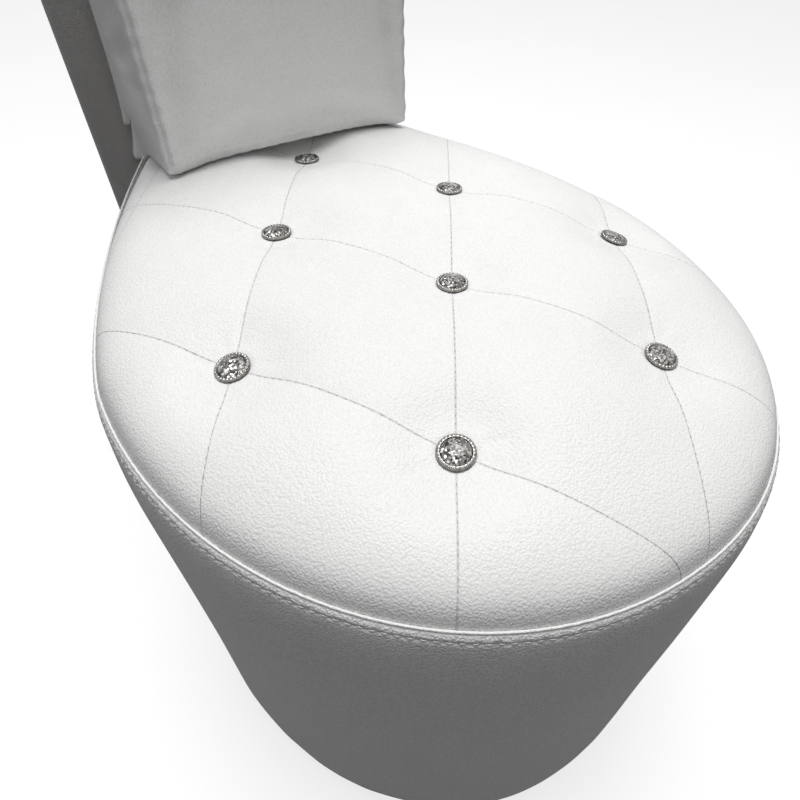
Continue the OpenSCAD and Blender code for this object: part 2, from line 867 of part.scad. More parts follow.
module back_welt() {
  color(vinyl_white) upright(seat_rear - welt_d / 2 - soft_gap) cord_along(back_welt_line, welt_d);
}

function button_face(p) =
  seat_rear - pad_face(p[0] / pad_half(p[1] - seam_h), p[1] - seam_h) + button_sink - bezel_floor;
module at_back_buttons() {
  for (p = back_buttons) translate([p[0], button_face(p), p[1]]) rotate([90, 0, 0]) children();
}

module back_twine_holes(h) {
  for (p = back_buttons) translate([p[0], seat_rear - 1, p[1]]) rotate([-90, 0, 0])
    cylinder(d = twine_d + 2 * twine_gap, h = h);
}

module back_bezels() {
  color(steel) in_place() at_back_buttons() bezel();
}

module back_crystals() {
  color(crystal) in_place() at_back_buttons() translate([0, 0, bolt_gap]) cut_crystal();
}

module back_twines() {
  color(nylon) in_place() for (p = back_buttons) {
    from = button_face(p) + shank_h;
    to = liner_y + anchor_h + 2;
    translate([p[0], from, p[1]]) rotate([-90, 0, 0]) cylinder(d = twine_d, h = to - from);
  }
}

module back_anchors() {
  color(nylon) in_place() for (p = back_buttons)
    translate([p[0], liner_y, p[1]]) rotate([-90, 0, 0]) anchor();
}

// ---- Loose cushion: stands on the seat and leans on the back's pad ----
cushion_back_y = seat_rear - pad_edge_t - pad_crown - soft_gap;
cushion_mid_y = cushion_back_y - cushion_d / 2;
cushion_z = soft_gap + max([
  for (ring = pad_top_rings) for (p = ring)
    if (abs(p[1] - cushion_mid_y) < cushion_d / 2 && abs(p[0]) < cushion_w / 2) p[2]
]);
cushion_sides = 44;
cushion_rings = 18;
side_crown = 0.06;
function squircle(t, power) = 1 / pow(pow(abs(cos(t)), power) + pow(abs(sin(t)), power), 1 / power);
function cushion_ring(k) = let (
    lift = -cos(180 * (k + 0.5) / cushion_rings),
    h = lift * squircle(asin(lift), cushion_power),
    w = cos(asin(lift)) * squircle(asin(lift), cushion_power),
    belly = 1 - side_crown * h * h
  ) [for (i = [0 : cushion_sides - 1])
    let (t = 360 * i / cushion_sides, q = squircle(t, cushion_power))
      [cushion_w / 2 * w * belly * q * cos(t),
       cushion_mid_y + cushion_d / 2 * w * belly * q * sin(t),
       cushion_z + cushion_h / 2 * (1 + h)]];

module back_cushion() {
  color(vinyl_white) in_place() shell_of(
    [for (k = [0 : cushion_rings - 1]) cushion_ring(k)],
    [0, cushion_mid_y, cushion_z],
    [0, cushion_mid_y, cushion_z + cushion_h]
  );
}

glides();
glide_nails();
plinth();
base_board();
base_screws();
drum_posts();
drum_wall();
tail_board();
seat_deck();
deck_screws();
seat_board();
seat_bolts();
seat_washers();
tee_nuts();
seat_core();
seat_pad();
seat_welt();
band_foam();
side_band();
button_bezels();
button_crystals();
tuft_twines();
tuft_anchors();
tail_bolts();
tail_washers();
tail_nuts();
back_posts();
back_rails();
rail_screws();
front_board();
back_liner();
back_cover();
rear_panel();
back_pad();
back_welt();
back_bezels();
back_crystals();
back_twines();
back_anchors();
back_cushion();
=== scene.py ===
import json
import math

import bmesh
import bpy
import numpy as np
from mathutils import Matrix, Vector, noise
from mathutils.bvhtree import BVHTree
from mathutils.kdtree import KDTree


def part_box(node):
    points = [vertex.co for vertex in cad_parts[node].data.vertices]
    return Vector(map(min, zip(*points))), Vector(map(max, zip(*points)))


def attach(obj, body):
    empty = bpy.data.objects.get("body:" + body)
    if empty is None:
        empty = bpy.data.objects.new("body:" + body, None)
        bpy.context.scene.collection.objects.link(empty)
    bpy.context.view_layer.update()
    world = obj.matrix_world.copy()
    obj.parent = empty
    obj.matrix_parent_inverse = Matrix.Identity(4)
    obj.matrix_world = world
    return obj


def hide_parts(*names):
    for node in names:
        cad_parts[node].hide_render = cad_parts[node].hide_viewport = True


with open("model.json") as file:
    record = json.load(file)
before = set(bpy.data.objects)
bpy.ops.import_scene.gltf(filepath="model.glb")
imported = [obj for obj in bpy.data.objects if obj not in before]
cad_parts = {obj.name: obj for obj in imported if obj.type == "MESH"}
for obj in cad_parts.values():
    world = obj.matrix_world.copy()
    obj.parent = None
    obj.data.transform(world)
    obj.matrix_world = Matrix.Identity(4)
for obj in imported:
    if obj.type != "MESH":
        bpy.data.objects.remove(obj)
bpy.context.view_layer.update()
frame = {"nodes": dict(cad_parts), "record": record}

# ---- sizes, in millimetres, as in the CAD
# The seat's outline: a superellipse in front, and a tail that narrows to the rear.
SEAT_W, SEAT_FRONT, SEAT_REAR, TAIL_W = 518.0, 318.0, 418.0, 246.0
NOSE_POWER, TAIL_POWER = 2.1, 1.45
# The plinth's top, the seam under the seat's top, the crown over that seam and its fall to the rear.
PLINTH_TOP, SEAM_H, CROWN_H, CROWN_POWER, TAIL_FALL = 40.0, 440.0, 54.0, 4.6, 28.0
# The seat's diamonds, and how far its middle button lies in front of the widest place.
TUFT_W, TUFT_L, TUFT_SHIFT = 174.0, 276.0, 57.0
# Height of a puff between the stitch lines; depth and reach of the dimple at a button.
PUFF_H, DIMPLE_H, DIMPLE_R = 4.0, 9.0, 30.0
BUTTON_D, BUTTON_SINK, BEZEL_FLOOR = 25.0, 0.5, 1.4
BAND_BULGE, BAND_TAPER, WELT_D, SOFT_GAP = 8.0, 6.0, 7.0, 0.3
# The back, with the radii of its outline's top corners and of its edges in front, behind and on top.
BACK_H, BACK_W, BACK_D, BACK_TOP_R = 1090.0, 344.0, 100.0, 110.0
SHELL_FRONT_R, SHELL_REAR_R, SHELL_TOP_R = 32.0, 46.0, 17.0
# The back's pad and its three buttons.
PAD_HALF_W, PAD_EDGE_T, PAD_CROWN, PAD_MARGIN, PAD_TOP_R = 126.0, 14.0, 20.0, 48.0, 70.0
BACK_TUFT_W, BACK_BUTTON_DOWN, BACK_BUTTON_DROP = 174.0, 90.0, 80.0

# ---- sizes, in millimetres, of what is only here
# The top's edge inside the outline, and its roll there: a small dip, then a steep rise that fades.
PAD_OFF, EDGE_RISE, EDGE_RUN, EDGE_FADE = 1.8, 10.5, 4.0, 48.0
EDGE_DIP, EDGE_DIP_RUN = 1.2, 4.0
# The lip of vinyl round each button of the seat, and the creases that run out from a button.
LIP_AT, LIP_RISE, LIP_RUN, LIP_FADE = 12.6, 1.7, 1.0, 24.0
SEAT_PLEAT, BACK_PLEAT = 0.3, 0.2
# The bead of the seat's piping that shows between top and band.
BEAD_OFF, BEAD_UP, BEAD_R = 0.9, 0.9, 0.9
# The band's skin: where it starts, and its two steps inwards, before and below its topstitch.
BAND_START, STEP_IN, STEP_RUN, WAIST_IN, WAIST_RUN, TOPSTITCH = 0.9, 3.9, 2.4, 4.5, 22.0, 6.0
PAD_FLARE, PAD_FLARE_RUN = 14.0, 40.0
# The pocket for the seat's firm core: height and share of the outline. The rings shrink to RING_MIDDLE.
POCKET_H, POCKET_SHARE, RING_MIDDLE = 18.3, 0.8, 40.0
# Stitches, in metres: length, gap and width.
QUILT_STITCH, BOXING_STITCH = (0.0044, 0.0018, 0.0008), (0.0046, 0.0018, 0.0009)
BAND_STITCH = (0.0047, 0.0023, 0.0012)

# ---- sizes that follow
WIDE_Y = (SEAT_FRONT + BAND_BULGE - SEAT_REAR - BACK_D) / 2
HALF_W = SEAT_W / 2
PAD_BASE = SEAM_H - WELT_D / 2 - SOFT_GAP
PAD_END = SEAT_REAR - PAD_EDGE_T - SOFT_GAP
BAND_TOP = SEAM_H + 0.4
BAND_DEPTH = BAND_TOP - PLINTH_TOP
SHELL_SEAM = BACK_D - SHELL_REAR_R
PAD_HIGH = BACK_H - SEAM_H - PAD_MARGIN
PAD_BEND = PAD_HIGH - PAD_TOP_R
PAD_LOW = -WELT_D / 2 - SOFT_GAP
BACK_BUTTONS = [(0.0, BACK_H - BACK_BUTTON_DOWN)] + [
    (s * BACK_TUFT_W / 2, BACK_H - BACK_BUTTON_DOWN - BACK_BUTTON_DROP) for s in (-1, 1)]


def in_part(p):
    """Points in millimetres in the seat's frame, as metres in the part's frame."""
    p = np.array(p, dtype=float)
    p[..., 1] += WIDE_Y
    return p * 0.001


# ---- mesh helpers
def face_outwards(obj, weld=0.0):
    """Turns a mesh's faces outwards, after joining points that lie closer than weld metres."""
    bm = bmesh.new()
    bm.from_mesh(obj.data)
    if weld:
        bmesh.ops.remove_doubles(bm, verts=bm.verts, dist=weld)
    bmesh.ops.recalc_face_normals(bm, faces=bm.faces)
    bm.to_mesh(obj.data)
    bm.free()


def shade_smooth(obj, smooth=True):
    obj.data.polygons.foreach_set("use_smooth", [smooth] * len(obj.data.polygons))


def new_object(name, data):
    obj = bpy.data.objects.new(name, data)
    bpy.context.scene.collection.objects.link(obj)
    return obj


def make_object(name, verts, faces, smooth=True):
    mesh = bpy.data.meshes.new(name)
    mesh.from_pydata([tuple(v) for v in np.asarray(verts).reshape(-1, 3)], [], [tuple(f) for f in faces])
    mesh.validate()
    mesh.update()
    obj = new_object(name, mesh)
    face_outwards(obj)
    shade_smooth(obj, smooth)
    return obj


def grid_faces(rows, cols, wrap=False, base=0):
    last = cols if wrap else cols - 1
    return [
        (base + r * cols + c, base + r * cols + (c + 1) % cols,
         base + (r + 1) * cols + (c + 1) % cols, base + (r + 1) * cols + c)
        for r in range(rows - 1) for c in range(last)
    ]


def end_caps(rows, cols):
    """The two faces that close a tube made by grid_faces."""
    return [tuple(range(cols - 1, -1, -1)), tuple(range((rows - 1) * cols, rows * cols))]


def fan(ring, tip, flip=False):
    n = len(ring)
    return [
        (ring[(i + 1) % n], ring[i], tip) if flip else (ring[i], ring[(i + 1) % n], tip)
        for i in range(n)
    ]


def merge(parts):
    """Joins (verts, faces) pairs into one."""
    verts, faces, base = [], [], 0
    for v, f in parts:
        v = np.asarray(v).reshape(-1, 3)
        verts.append(v)
        faces += [tuple(base + i for i in face) for face in f]
        base += len(v)
    return np.concatenate(verts), faces


def coordinates(vertices):
    return np.array([v.co[:] for v in vertices])


def at_height(line, z):
    return np.column_stack([line, np.full(len(line), z)])


def unit(vectors):
    return vectors / np.linalg.norm(vectors, axis=1)[:, None]


def ease(t):
    t = np.clip(t, 0, 1)
    return t * t * (3 - 2 * t)


def wobble(points, scale, seed):
    """Smooth noise from -1 to 1 at each point; scale is its size in the points' units."""
    return np.array([noise.noise(Vector(p) / scale + Vector((seed, 2 * seed, 3 * seed))) for p in points])


def drift(at, scale, *place):
    """Smooth noise from -1 to 1 along a line, at the distances given."""
    return np.array([noise.noise(Vector((a / scale, *place))) for a in at])


# ---- outline and crown of the seat
def rear_half(y):
    return HALF_W - (HALF_W - TAIL_W / 2) * (np.clip(y, 0, SEAT_REAR) / SEAT_REAR) ** TAIL_POWER


def seat_line(off, end=SEAT_REAR, front=300, rear=110):
    """The outline, off millimetres inside, from the left rear round the front to the right rear."""
    y = end * (1 - np.arange(rear) / rear)
    left = np.stack([off - rear_half(y), y], -1)
    turn = np.pi * np.arange(front + 1) / front
    c, s = np.cos(turn), np.maximum(np.sin(turn), 0)
    nose = np.stack([(off - HALF_W) * np.sign(c) * np.abs(c) ** (2 / NOSE_POWER),
                     (off - SEAT_FRONT) * s ** (2 / NOSE_POWER)], -1)
    return np.concatenate([left, nose, left[::-1] * (-1, 1)])


def rho(x, y):
    """0 in the middle of the seat, 1 on its outline."""
    ahead = (np.abs(x) / HALF_W) ** NOSE_POWER + (np.maximum(-y, 0) / SEAT_FRONT) ** NOSE_POWER
    return np.where(y < 0, ahead ** (1 / NOSE_POWER), np.abs(x) / rear_half(y))


def edge_off(x, y):
    """How far a place on the seat lies inside the outline."""
    r = np.maximum(rho(x, y), 1e-6)
    p = NOSE_POWER - 1
    ahead = np.hypot((np.abs(x) / HALF_W / r) ** p / HALF_W,
                     (np.maximum(-y, 0) / SEAT_FRONT / r) ** p / SEAT_FRONT)
    back = np.maximum(y, 0) / SEAT_REAR
    lean = (HALF_W - TAIL_W / 2) * TAIL_POWER / SEAT_REAR * back ** (TAIL_POWER - 1)
    behind = np.hypot(1, r * lean) / rear_half(y)
    return (1 - r) / np.where(y < 0, ahead, behind)


def crown(x, y):
    return CROWN_H * (1 - rho(x, y) ** CROWN_POWER) - TAIL_FALL * (np.maximum(y, 0) / SEAT_REAR) ** 2


def edge_roll(x, y):
    """Added to the crown: the top rolls over steeply just before the seam."""
    e = np.maximum(edge_off(x, y) - PAD_OFF, 0)
    rise = EDGE_RISE * (1 - np.exp(-e / EDGE_RUN)) * np.exp(-(e / EDGE_FADE) ** 2)
    return rise - EDGE_DIP * np.exp(-e / EDGE_DIP_RUN)


def tuft_place(u, v):
    """Where a place on the grid of stitch lines lies on the seat; at whole numbers two lines cross."""
    return TUFT_W * (u - v) / 2, TUFT_L * (u + v) / 2 - TUFT_SHIFT


def tuft_uv(x, y):
    g = y + TUFT_SHIFT
    return x / TUFT_W + g / TUFT_L, g / TUFT_L - x / TUFT_W


CROSSINGS = [tuft_place(u, v) for u in (-1, 0, 1) for v in (-1, 0, 1)]
SEAT_BUTTONS = [place for place in CROSSINGS if rho(*place) < 0.85]


def dimples(x, y, spots):
    return sum(np.exp(-(np.maximum(np.hypot(x - sx, y - sy) - BUTTON_D / 2, 0) / DIMPLE_R) ** 2)
               for sx, sy in spots)


def puff(u, v, soft=0.02):
    """0 on the stitch lines, 1 in the middle of a panel, with a rounded valley."""
    s = np.abs(np.sin(np.pi * u) * np.sin(np.pi * v))
    return (np.sqrt(s + soft) - math.sqrt(soft)) / (math.sqrt(1 + soft) - math.sqrt(soft))


def pleats(x, y, spots, count=9):
    """Small creases that run out from the buttons."""
    total = 0
    for i, (sx, sy) in enumerate(spots):
        dx, dy = x - sx, y - sy
        d = np.hypot(dx, dy)
        a = np.arctan2(dy, dx)
        wave = np.cos(count * a + 1.7 * i) * 0.6 + np.cos((count + 4) * a + 2.9 * i + d / 30) * 0.4
        total = total + wave * ease((d - 13) / 10) * np.exp(-(np.maximum(d - 20, 0) / 20) ** 2)
    return total


def seat_z(x, y, fine=True):
    """Height of the seat's top over its seam; fine adds the creases and the lips at the buttons."""
    inside = 1 - np.minimum(rho(x, y), 1) ** 4
    z = crown(x, y) + edge_roll(x, y) + PUFF_H * puff(*tuft_uv(x, y)) * inside
    z = z - DIMPLE_H * dimples(x, y, SEAT_BUTTONS)
    if fine:
        z = z + SEAT_PLEAT * pleats(x, y, SEAT_BUTTONS)
        for bx, by in SEAT_BUTTONS:
            d = np.hypot(x - bx, y - by)
            lip = 1 - np.exp(-np.maximum(d - LIP_AT, 0) / LIP_RUN)
            z = z + LIP_RISE * lip * np.exp(-(d / LIP_FADE) ** 2)
    return z


# ---- node materials
class Nodes:
    """The node tree of a material or a world, with short ways to add nodes."""

    def __init__(self, owner, output="ShaderNodeOutputMaterial"):
        owner.use_nodes = True
        self.owner = owner
        self.tree = owner.node_tree
        self.tree.nodes.clear()
        self.out = self.tree.nodes.new(output)

    def add(self, kind, **values):
        node = self.tree.nodes.new(kind)
        for key, value in values.items():
            if hasattr(node, key):
                setattr(node, key, value)
            else:
                self.put(node, key.replace("_", " "), value)
        return node

    def put(self, node, socket, value):
        target = node.inputs[socket]
        if isinstance(value, bpy.types.NodeSocket):
            self.tree.links.new(value, target)
        else:
            target.default_value = value

    def math(self, operation, a, b):
        node = self.add("ShaderNodeMath", operation=operation)
        self.put(node, 0, a)
        self.put(node, 1, b)
        return node.outputs[0]

    def vector(self, operation, *values):
        node = self.add("ShaderNodeVectorMath", operation=operation)
        for i, value in enumerate(values):
            self.put(node, i, value)
        return node.outputs[0]

    def place(self):
        return self.add("ShaderNodeTexCoord").outputs["Object"]

    def noise(self, scale, detail=3.0, rough=0.55, vector=None, distortion=0.0):
        node = self.add("ShaderNodeTexNoise", Scale=scale, Detail=detail, Roughness=rough,
                        Distortion=distortion)
        self.put(node, "Vector", vector or self.place())
        return node.outputs["Fac"]

    def span(self, value, lo, hi, to_lo=0.0, to_hi=1.0):
        node = self.add("ShaderNodeMapRange")
        for i, v in enumerate((value, lo, hi, to_lo, to_hi)):
            self.put(node, i, v)
        return node.outputs[0]

    def ramp(self, fac, stops):
        node = self.add("ShaderNodeValToRGB")
        self.put(node, "Fac", fac)
        ramp = node.color_ramp
        while len(ramp.elements) < len(stops):
            ramp.elements.new(0.5)
        for el, (pos, colour) in zip(ramp.elements, stops):
            el.position = pos
            el.color = (*colour, 1)
        return node.outputs["Color"]

    def mix(self, fac, a, b):
        """Two colours, mixed. The colour sockets of a Mix node are its inputs 6 and 7 and its output 2."""
        node = self.add("ShaderNodeMix", data_type="RGBA")
        self.put(node, 0, fac)
        for socket, value in ((6, a), (7, b)):
            self.put(node, socket, (*value, 1) if isinstance(value, tuple) else value)
        return node.outputs[2]

    def bump(self, height, strength, distance, normal=None):
        node = self.add("ShaderNodeBump", Strength=strength, Distance=distance)
        self.put(node, "Height", height)
        if normal is not None:
            self.put(node, "Normal", normal)
        return node.outputs["Normal"]

    def surface(self, shader):
        self.tree.links.new(shader, self.out.inputs["Surface"])
        return self.owner

    def principled(self, **values):
        node = self.add("ShaderNodeBsdfPrincipled")
        for key, value in values.items():
            self.put(node, key.replace("_", " "), value)
        return self.surface(node.outputs["BSDF"])


def material_nodes(name):
    return Nodes(bpy.data.materials.new(name))


def darker(colour, share):
    return tuple(share * c for c in colour)


def grain(n):
    """Pebble grain of faux leather: rounded cells about 1.6 mm wide with fine pores between them."""
    warp = n.noise(260, 2.0)
    nudge = n.add("ShaderNodeVectorMath", operation="SCALE", Scale=0.0012)
    n.put(nudge, 0, n.add("ShaderNodeCombineXYZ", X=warp, Y=warp, Z=warp).outputs[0])
    cells = n.add("ShaderNodeTexVoronoi", feature="SMOOTH_F1", Scale=620, Smoothness=0.3)
    n.put(cells, "Vector", n.vector("ADD", n.place(), nudge.outputs[0]))
    pebble = cells.outputs["Distance"]
    height = n.math("ADD", n.math("MULTIPLY", pebble, -1.0), n.math("MULTIPLY", n.noise(1500, 2.0), 0.35))
    return height, pebble


def vinyl(name, colour, shade, rough=0.42, lines=None, depth=0.0006, creases=0.22):
    """Faux leather: clouded colour, pores darkened with painted shade, scuffs, pebble grain, and any stitch
    lines, sunk and darkened with painted shade.
    """
    n = material_nodes(name)
    height, pebble = grain(n)
    blotch = n.noise(46, 3.0)
    tone = n.math("ADD", n.math("MULTIPLY", n.noise(7, 4.0), 0.6), n.math("MULTIPLY", blotch, 0.4))
    base = n.mix(n.span(tone, 0.35, 0.65), shade, colour)
    # Painted shade: the pores between the pebbles are darkened, by the share creases, as shade in the
    # grain's hollows.
    pores = n.span(pebble, 0.35, 0.75)
    base = n.mix(n.math("MULTIPLY", pores, creases), base, darker(shade, 0.72))
    scuff = n.span(n.noise(21, 6.0, 0.7, distortion=0.8), 0.56, 0.72)
    base = n.mix(n.math("MULTIPLY", scuff, 0.10), base, darker(shade, 0.80))
    roughness = n.math("ADD", n.span(blotch, 0.3, 0.7, rough - 0.05, rough + 0.06),
                       n.math("MULTIPLY", scuff, 0.06))
    normal = n.bump(n.noise(120, 3.0), 0.10, 0.0006)
    normal = n.bump(height, 0.6, depth, normal)
    if lines is not None:
        groove_and_shade = lines(n)
        # Painted shade: along the stitch lines the colour is drawn towards a darker shade, besides the
        # groove's bump.
        base = n.mix(n.math("MULTIPLY", groove_and_shade, 0.22), base, darker(shade, 0.52))
        normal = n.bump(n.math("MULTIPLY", groove_and_shade, -1.0), 0.8, 0.0006, normal)
    return n.principled(Base_Color=base, Roughness=roughness, Normal=normal, Specular_IOR_Level=0.30)


def tuft_lines(n):
    """1 on the seat's stitch lines, 0 beside them, from the place on the seat: the mask of their sunk groove
    and its painted shade.
    """
    split = n.add("ShaderNodeSeparateXYZ")
    n.put(split, 0, n.place())
    x, y = split.outputs[0], split.outputs[1]
    g = n.math("DIVIDE", n.math("ADD", y, (TUFT_SHIFT - WIDE_Y) * 0.001), TUFT_L * 0.001)
    a = n.math("DIVIDE", x, TUFT_W * 0.001)
    spacing = 1 / math.hypot(1 / TUFT_W, 1 / TUFT_L)
    near = [n.math("PINGPONG", n.math(op, g, a), 0.5) for op in ("ADD", "SUBTRACT")]
    d = n.math("MULTIPLY", n.math("MINIMUM", *near), spacing)
    return n.span(d, 0.0, 0.75, 1.0, 0.0)


def thread(name, colour):
    n = material_nodes(name)
    wave = n.add("ShaderNodeTexWave", Scale=900.0, Distortion=2.0)
    n.put(wave, "Vector", n.place())
    fuzz = n.noise(2600, 2.0)
    base = n.mix(n.span(fuzz, 0.3, 0.7), darker(colour, 0.78), colour)
    normal = n.bump(wave.outputs["Fac"], 0.5, 0.0001)
    return n.principled(Base_Color=base, Roughness=n.span(fuzz, 0.2, 0.8, 0.6, 0.85), Normal=normal)


def stretched(n, scale):
    """Places for a pattern that is drawn out along the axis with the smallest scale."""
    mapping = n.add("ShaderNodeMapping")
    n.put(mapping, "Vector", n.place())
    n.put(mapping, "Scale", scale)
    return mapping.outputs[0]


def wood(name, light, dark, scale, plies=False, rough=0.62):
    n = material_nodes(name)
    place = stretched(n, scale)
    figure = n.noise(1.0, 5.0, 0.6, place, 0.6)
    fibre = n.noise(9.0, 3.0, 0.6, place)
    tone = n.math("ADD", n.math("MULTIPLY", figure, 0.65), n.math("MULTIPLY", fibre, 0.35))
    base = n.mix(n.span(tone, 0.34, 0.68), dark, light)
    if plies:
        wave = n.add("ShaderNodeTexWave", Scale=52.0, Distortion=0.15, bands_direction="Z")
        n.put(wave, "Vector", n.place())
        base = n.mix(n.math("MULTIPLY", wave.outputs["Fac"], 0.25), base, darker(dark, 0.6))
    return n.principled(Base_Color=base, Roughness=n.span(figure, 0.3, 0.7, rough - 0.08, rough + 0.1),
                        Normal=n.bump(fibre, 0.25, 0.0003))


def black_board(name):
    n = material_nodes(name)
    fibre = n.noise(6.0, 4.0, 0.6, stretched(n, (3.0, 3.0, 90.0)))
    scuff = n.span(n.noise(34, 5.0, 0.7), 0.58, 0.74)
    base = n.mix(n.span(fibre, 0.3, 0.7), (0.012, 0.011, 0.010), (0.030, 0.027, 0.025))
    base = n.mix(n.math("MULTIPLY", scuff, 0.35), base, (0.085, 0.080, 0.074))
    return n.principled(Base_Color=base, Roughness=n.span(fibre, 0.3, 0.7, 0.42, 0.6),
                        Normal=n.bump(fibre, 0.3, 0.0002))


def foam(name, colour):
    n = material_nodes(name)
    cells = n.add("ShaderNodeTexVoronoi", Scale=900)
    n.put(cells, "Vector", n.place())
    cell = cells.outputs["Distance"]
    cloud = n.noise(18, 3.0)
    base = n.mix(n.span(cell, 0.2, 0.8), colour, darker(colour, 0.6))
    base = n.mix(n.math("MULTIPLY", cloud, 0.3), base, darker(colour, 0.85))
    return n.principled(Base_Color=base, Roughness=n.span(cloud, 0.2, 0.8, 0.85, 0.97),
                        Normal=n.bump(cell, 0.6, 0.0004))


def metal(name, colour, rough, fineness=1400, worn=0.4):
    n = material_nodes(name)
    cloud = n.noise(60, 4.0)
    spots = n.span(n.noise(420, 5.0, 0.7), 0.65 - 0.15 * worn, 0.78 - 0.15 * worn)
    base = n.mix(n.span(cloud, 0.3, 0.7), darker(colour, 0.86), colour)
    base = n.mix(n.math("MULTIPLY", spots, worn), base, darker(colour, 0.5))
    return n.principled(Base_Color=base, Metallic=1.0, Normal=n.bump(n.noise(fineness, 3.0), 0.12, 0.00005),
                        Roughness=n.span(cloud, 0.25, 0.75, rough - 0.05, rough + 0.08))


def plastic(name, colour, rough):
    n = material_nodes(name)
    cloud = n.noise(40, 3.0)
    base = n.mix(n.span(cloud, 0.3, 0.7), darker(colour, 0.8), colour)
    return n.principled(Base_Color=base, Roughness=n.span(cloud, 0.3, 0.7, rough - 0.06, rough + 0.08),
                        Normal=n.bump(n.noise(1200, 2.0), 0.2, 0.0001))


def crystal(name):
    """A foiled crystal: silvery facets, each turned its own way under a clear polish, and each lighter or
    darker at random in its colour, as painted reflections.
    """
    n = material_nodes(name)
    facet = n.add("ShaderNodeTexVoronoi", Scale=760.0)
    n.put(facet, "Vector", n.place())
    tone = n.add("ShaderNodeSeparateColor")
    n.put(tone, 0, facet.outputs["Color"])
    # Painted reflections: each facet gets a colour from near black to near white, standing in for the light
    # and dark that a cut stone reflects.
    base = n.ramp(tone.outputs[0], [(0.0, (0.012, 0.011, 0.010)), (0.35, (0.075, 0.072, 0.066)),
                                    (0.65, (0.25, 0.245, 0.23)), (1.0, (0.80, 0.79, 0.77))])
    tilt = n.vector("SUBTRACT", facet.outputs["Color"], (0.5, 0.5, 0.5))
    own = n.add("ShaderNodeNewGeometry").outputs["Normal"]
    normal = n.vector("NORMALIZE", n.vector("ADD", own, tilt))
    return n.principled(Base_Color=base, Metallic=0.7, Normal=normal, Coat_Weight=0.6, Coat_Roughness=0.06,
                        Roughness=n.span(tone.outputs[1], 0, 1, 0.10, 0.32))


WHITE, WHITE_SHADE = (0.885, 0.882, 0.872), (0.860, 0.857, 0.848)
MAT = {
    "vinyl_seat": vinyl("vinyl_seat", WHITE, (0.865, 0.862, 0.852), lines=tuft_lines),
    "vinyl_white": vinyl("vinyl_white", WHITE, WHITE_SHADE),
    # The band's vinyl: more painted shade in its pores, standing in for grain that light from the side would
    # show.
    "vinyl_band": vinyl("vinyl_band", WHITE, WHITE_SHADE, depth=0.0010, creases=0.55),
    "vinyl_grey": vinyl("vinyl_grey", (0.46, 0.45, 0.44), (0.42, 0.41, 0.40), rough=0.46),
    # Grey thread for the quilting of seat and back: light thread made grey, partly its own colour and partly
    # painted shade of the groove it lies in.
    "thread": thread("thread", (0.42, 0.42, 0.41)),
    "thread_white": thread("thread_white", (0.80, 0.80, 0.78)),
    "plywood": wood("plywood", (0.66, 0.50, 0.31), (0.50, 0.35, 0.20), (4.0, 60.0, 60.0), plies=True),
    "softwood": wood("softwood", (0.72, 0.55, 0.34), (0.56, 0.38, 0.20), (60.0, 60.0, 4.0)),
    "plinth_black": black_board("plinth_black"),
    "foam": foam("foam", (0.85, 0.76, 0.48)),
    "zinc_steel": metal("zinc_steel", (0.62, 0.63, 0.65), 0.32),
    "bezel_metal": metal("bezel_metal", (0.29, 0.283, 0.265), 0.20, fineness=500, worn=1.0),
    "crystal": crystal("crystal"),
    "nylon": plastic("nylon", (0.045, 0.045, 0.05), 0.45),
    "twine": thread("twine", (0.55, 0.53, 0.48)),
}


def finish_piece(obj, material, body="chair", replaces=()):
    obj.data.materials.clear()
    obj.data.materials.append(MAT[material])
    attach(obj, body)
    if replaces:
        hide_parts(*replaces)
    return obj


# ---- stitches
# Place along a stitch and thickness there.
STITCH_RINGS = ((-0.5, 0.25), (-0.36, 0.85), (0.0, 1.0), (0.36, 0.85), (0.5, 0.25))


def stitch_run(points, normals, length, gap, width, sink=0.35):
    """Small flattened stitches along a surface line. points and normals are in metres."""
    at = run_length(points)
    sides = 6
    parts = []
    start = gap
    while start + length < at[-1]:
        spots = (start, start + length / 2, start + length)
        places = [[np.interp(s, at, points[:, c]) for c in range(3)] for s in spots]
        first, centre, last = np.array(places)
        up = np.array([np.interp(spots[1], at, normals[:, c]) for c in range(3)])
        up /= np.linalg.norm(up)
        along = last - first
        along /= np.linalg.norm(along)
        side = np.cross(up, along)
        verts = []
        for t, fat in STITCH_RINGS:
            dip = -abs(t) ** 2 * width * 1.6
            for k in range(sides):
                a = 2 * math.pi * k / sides
                verts.append(centre + along * t * length + side * math.cos(a) * fat * width / 2
                             + up * (math.sin(a) * fat * width * 0.38 + dip - sink * width * 0.5))
        rows = len(STITCH_RINGS)
        parts.append((np.array(verts), grid_faces(rows, sides, wrap=True) + end_caps(rows, sides)))
        start += length + gap
    return parts


def surface_probe(obj):
    mesh = obj.data
    places = [v.co.copy() for v in mesh.vertices]
    return BVHTree.FromPolygons(places, [tuple(p.vertices) for p in mesh.polygons])


def dropped(tree, points, start, direction):
    """Each point moved along a direction until it meets the surface: (places, normals)."""
    places, normals = [], []
    for p in points:
        hit, normal, _, _ = tree.ray_cast(Vector(p) + Vector(start), Vector(direction))
        if hit is None:
            continue
        if normal.dot(Vector(direction)) > 0:
            normal = -normal
        places.append(tuple(hit))
        normals.append(tuple(normal))
    return np.array(places), np.array(normals)


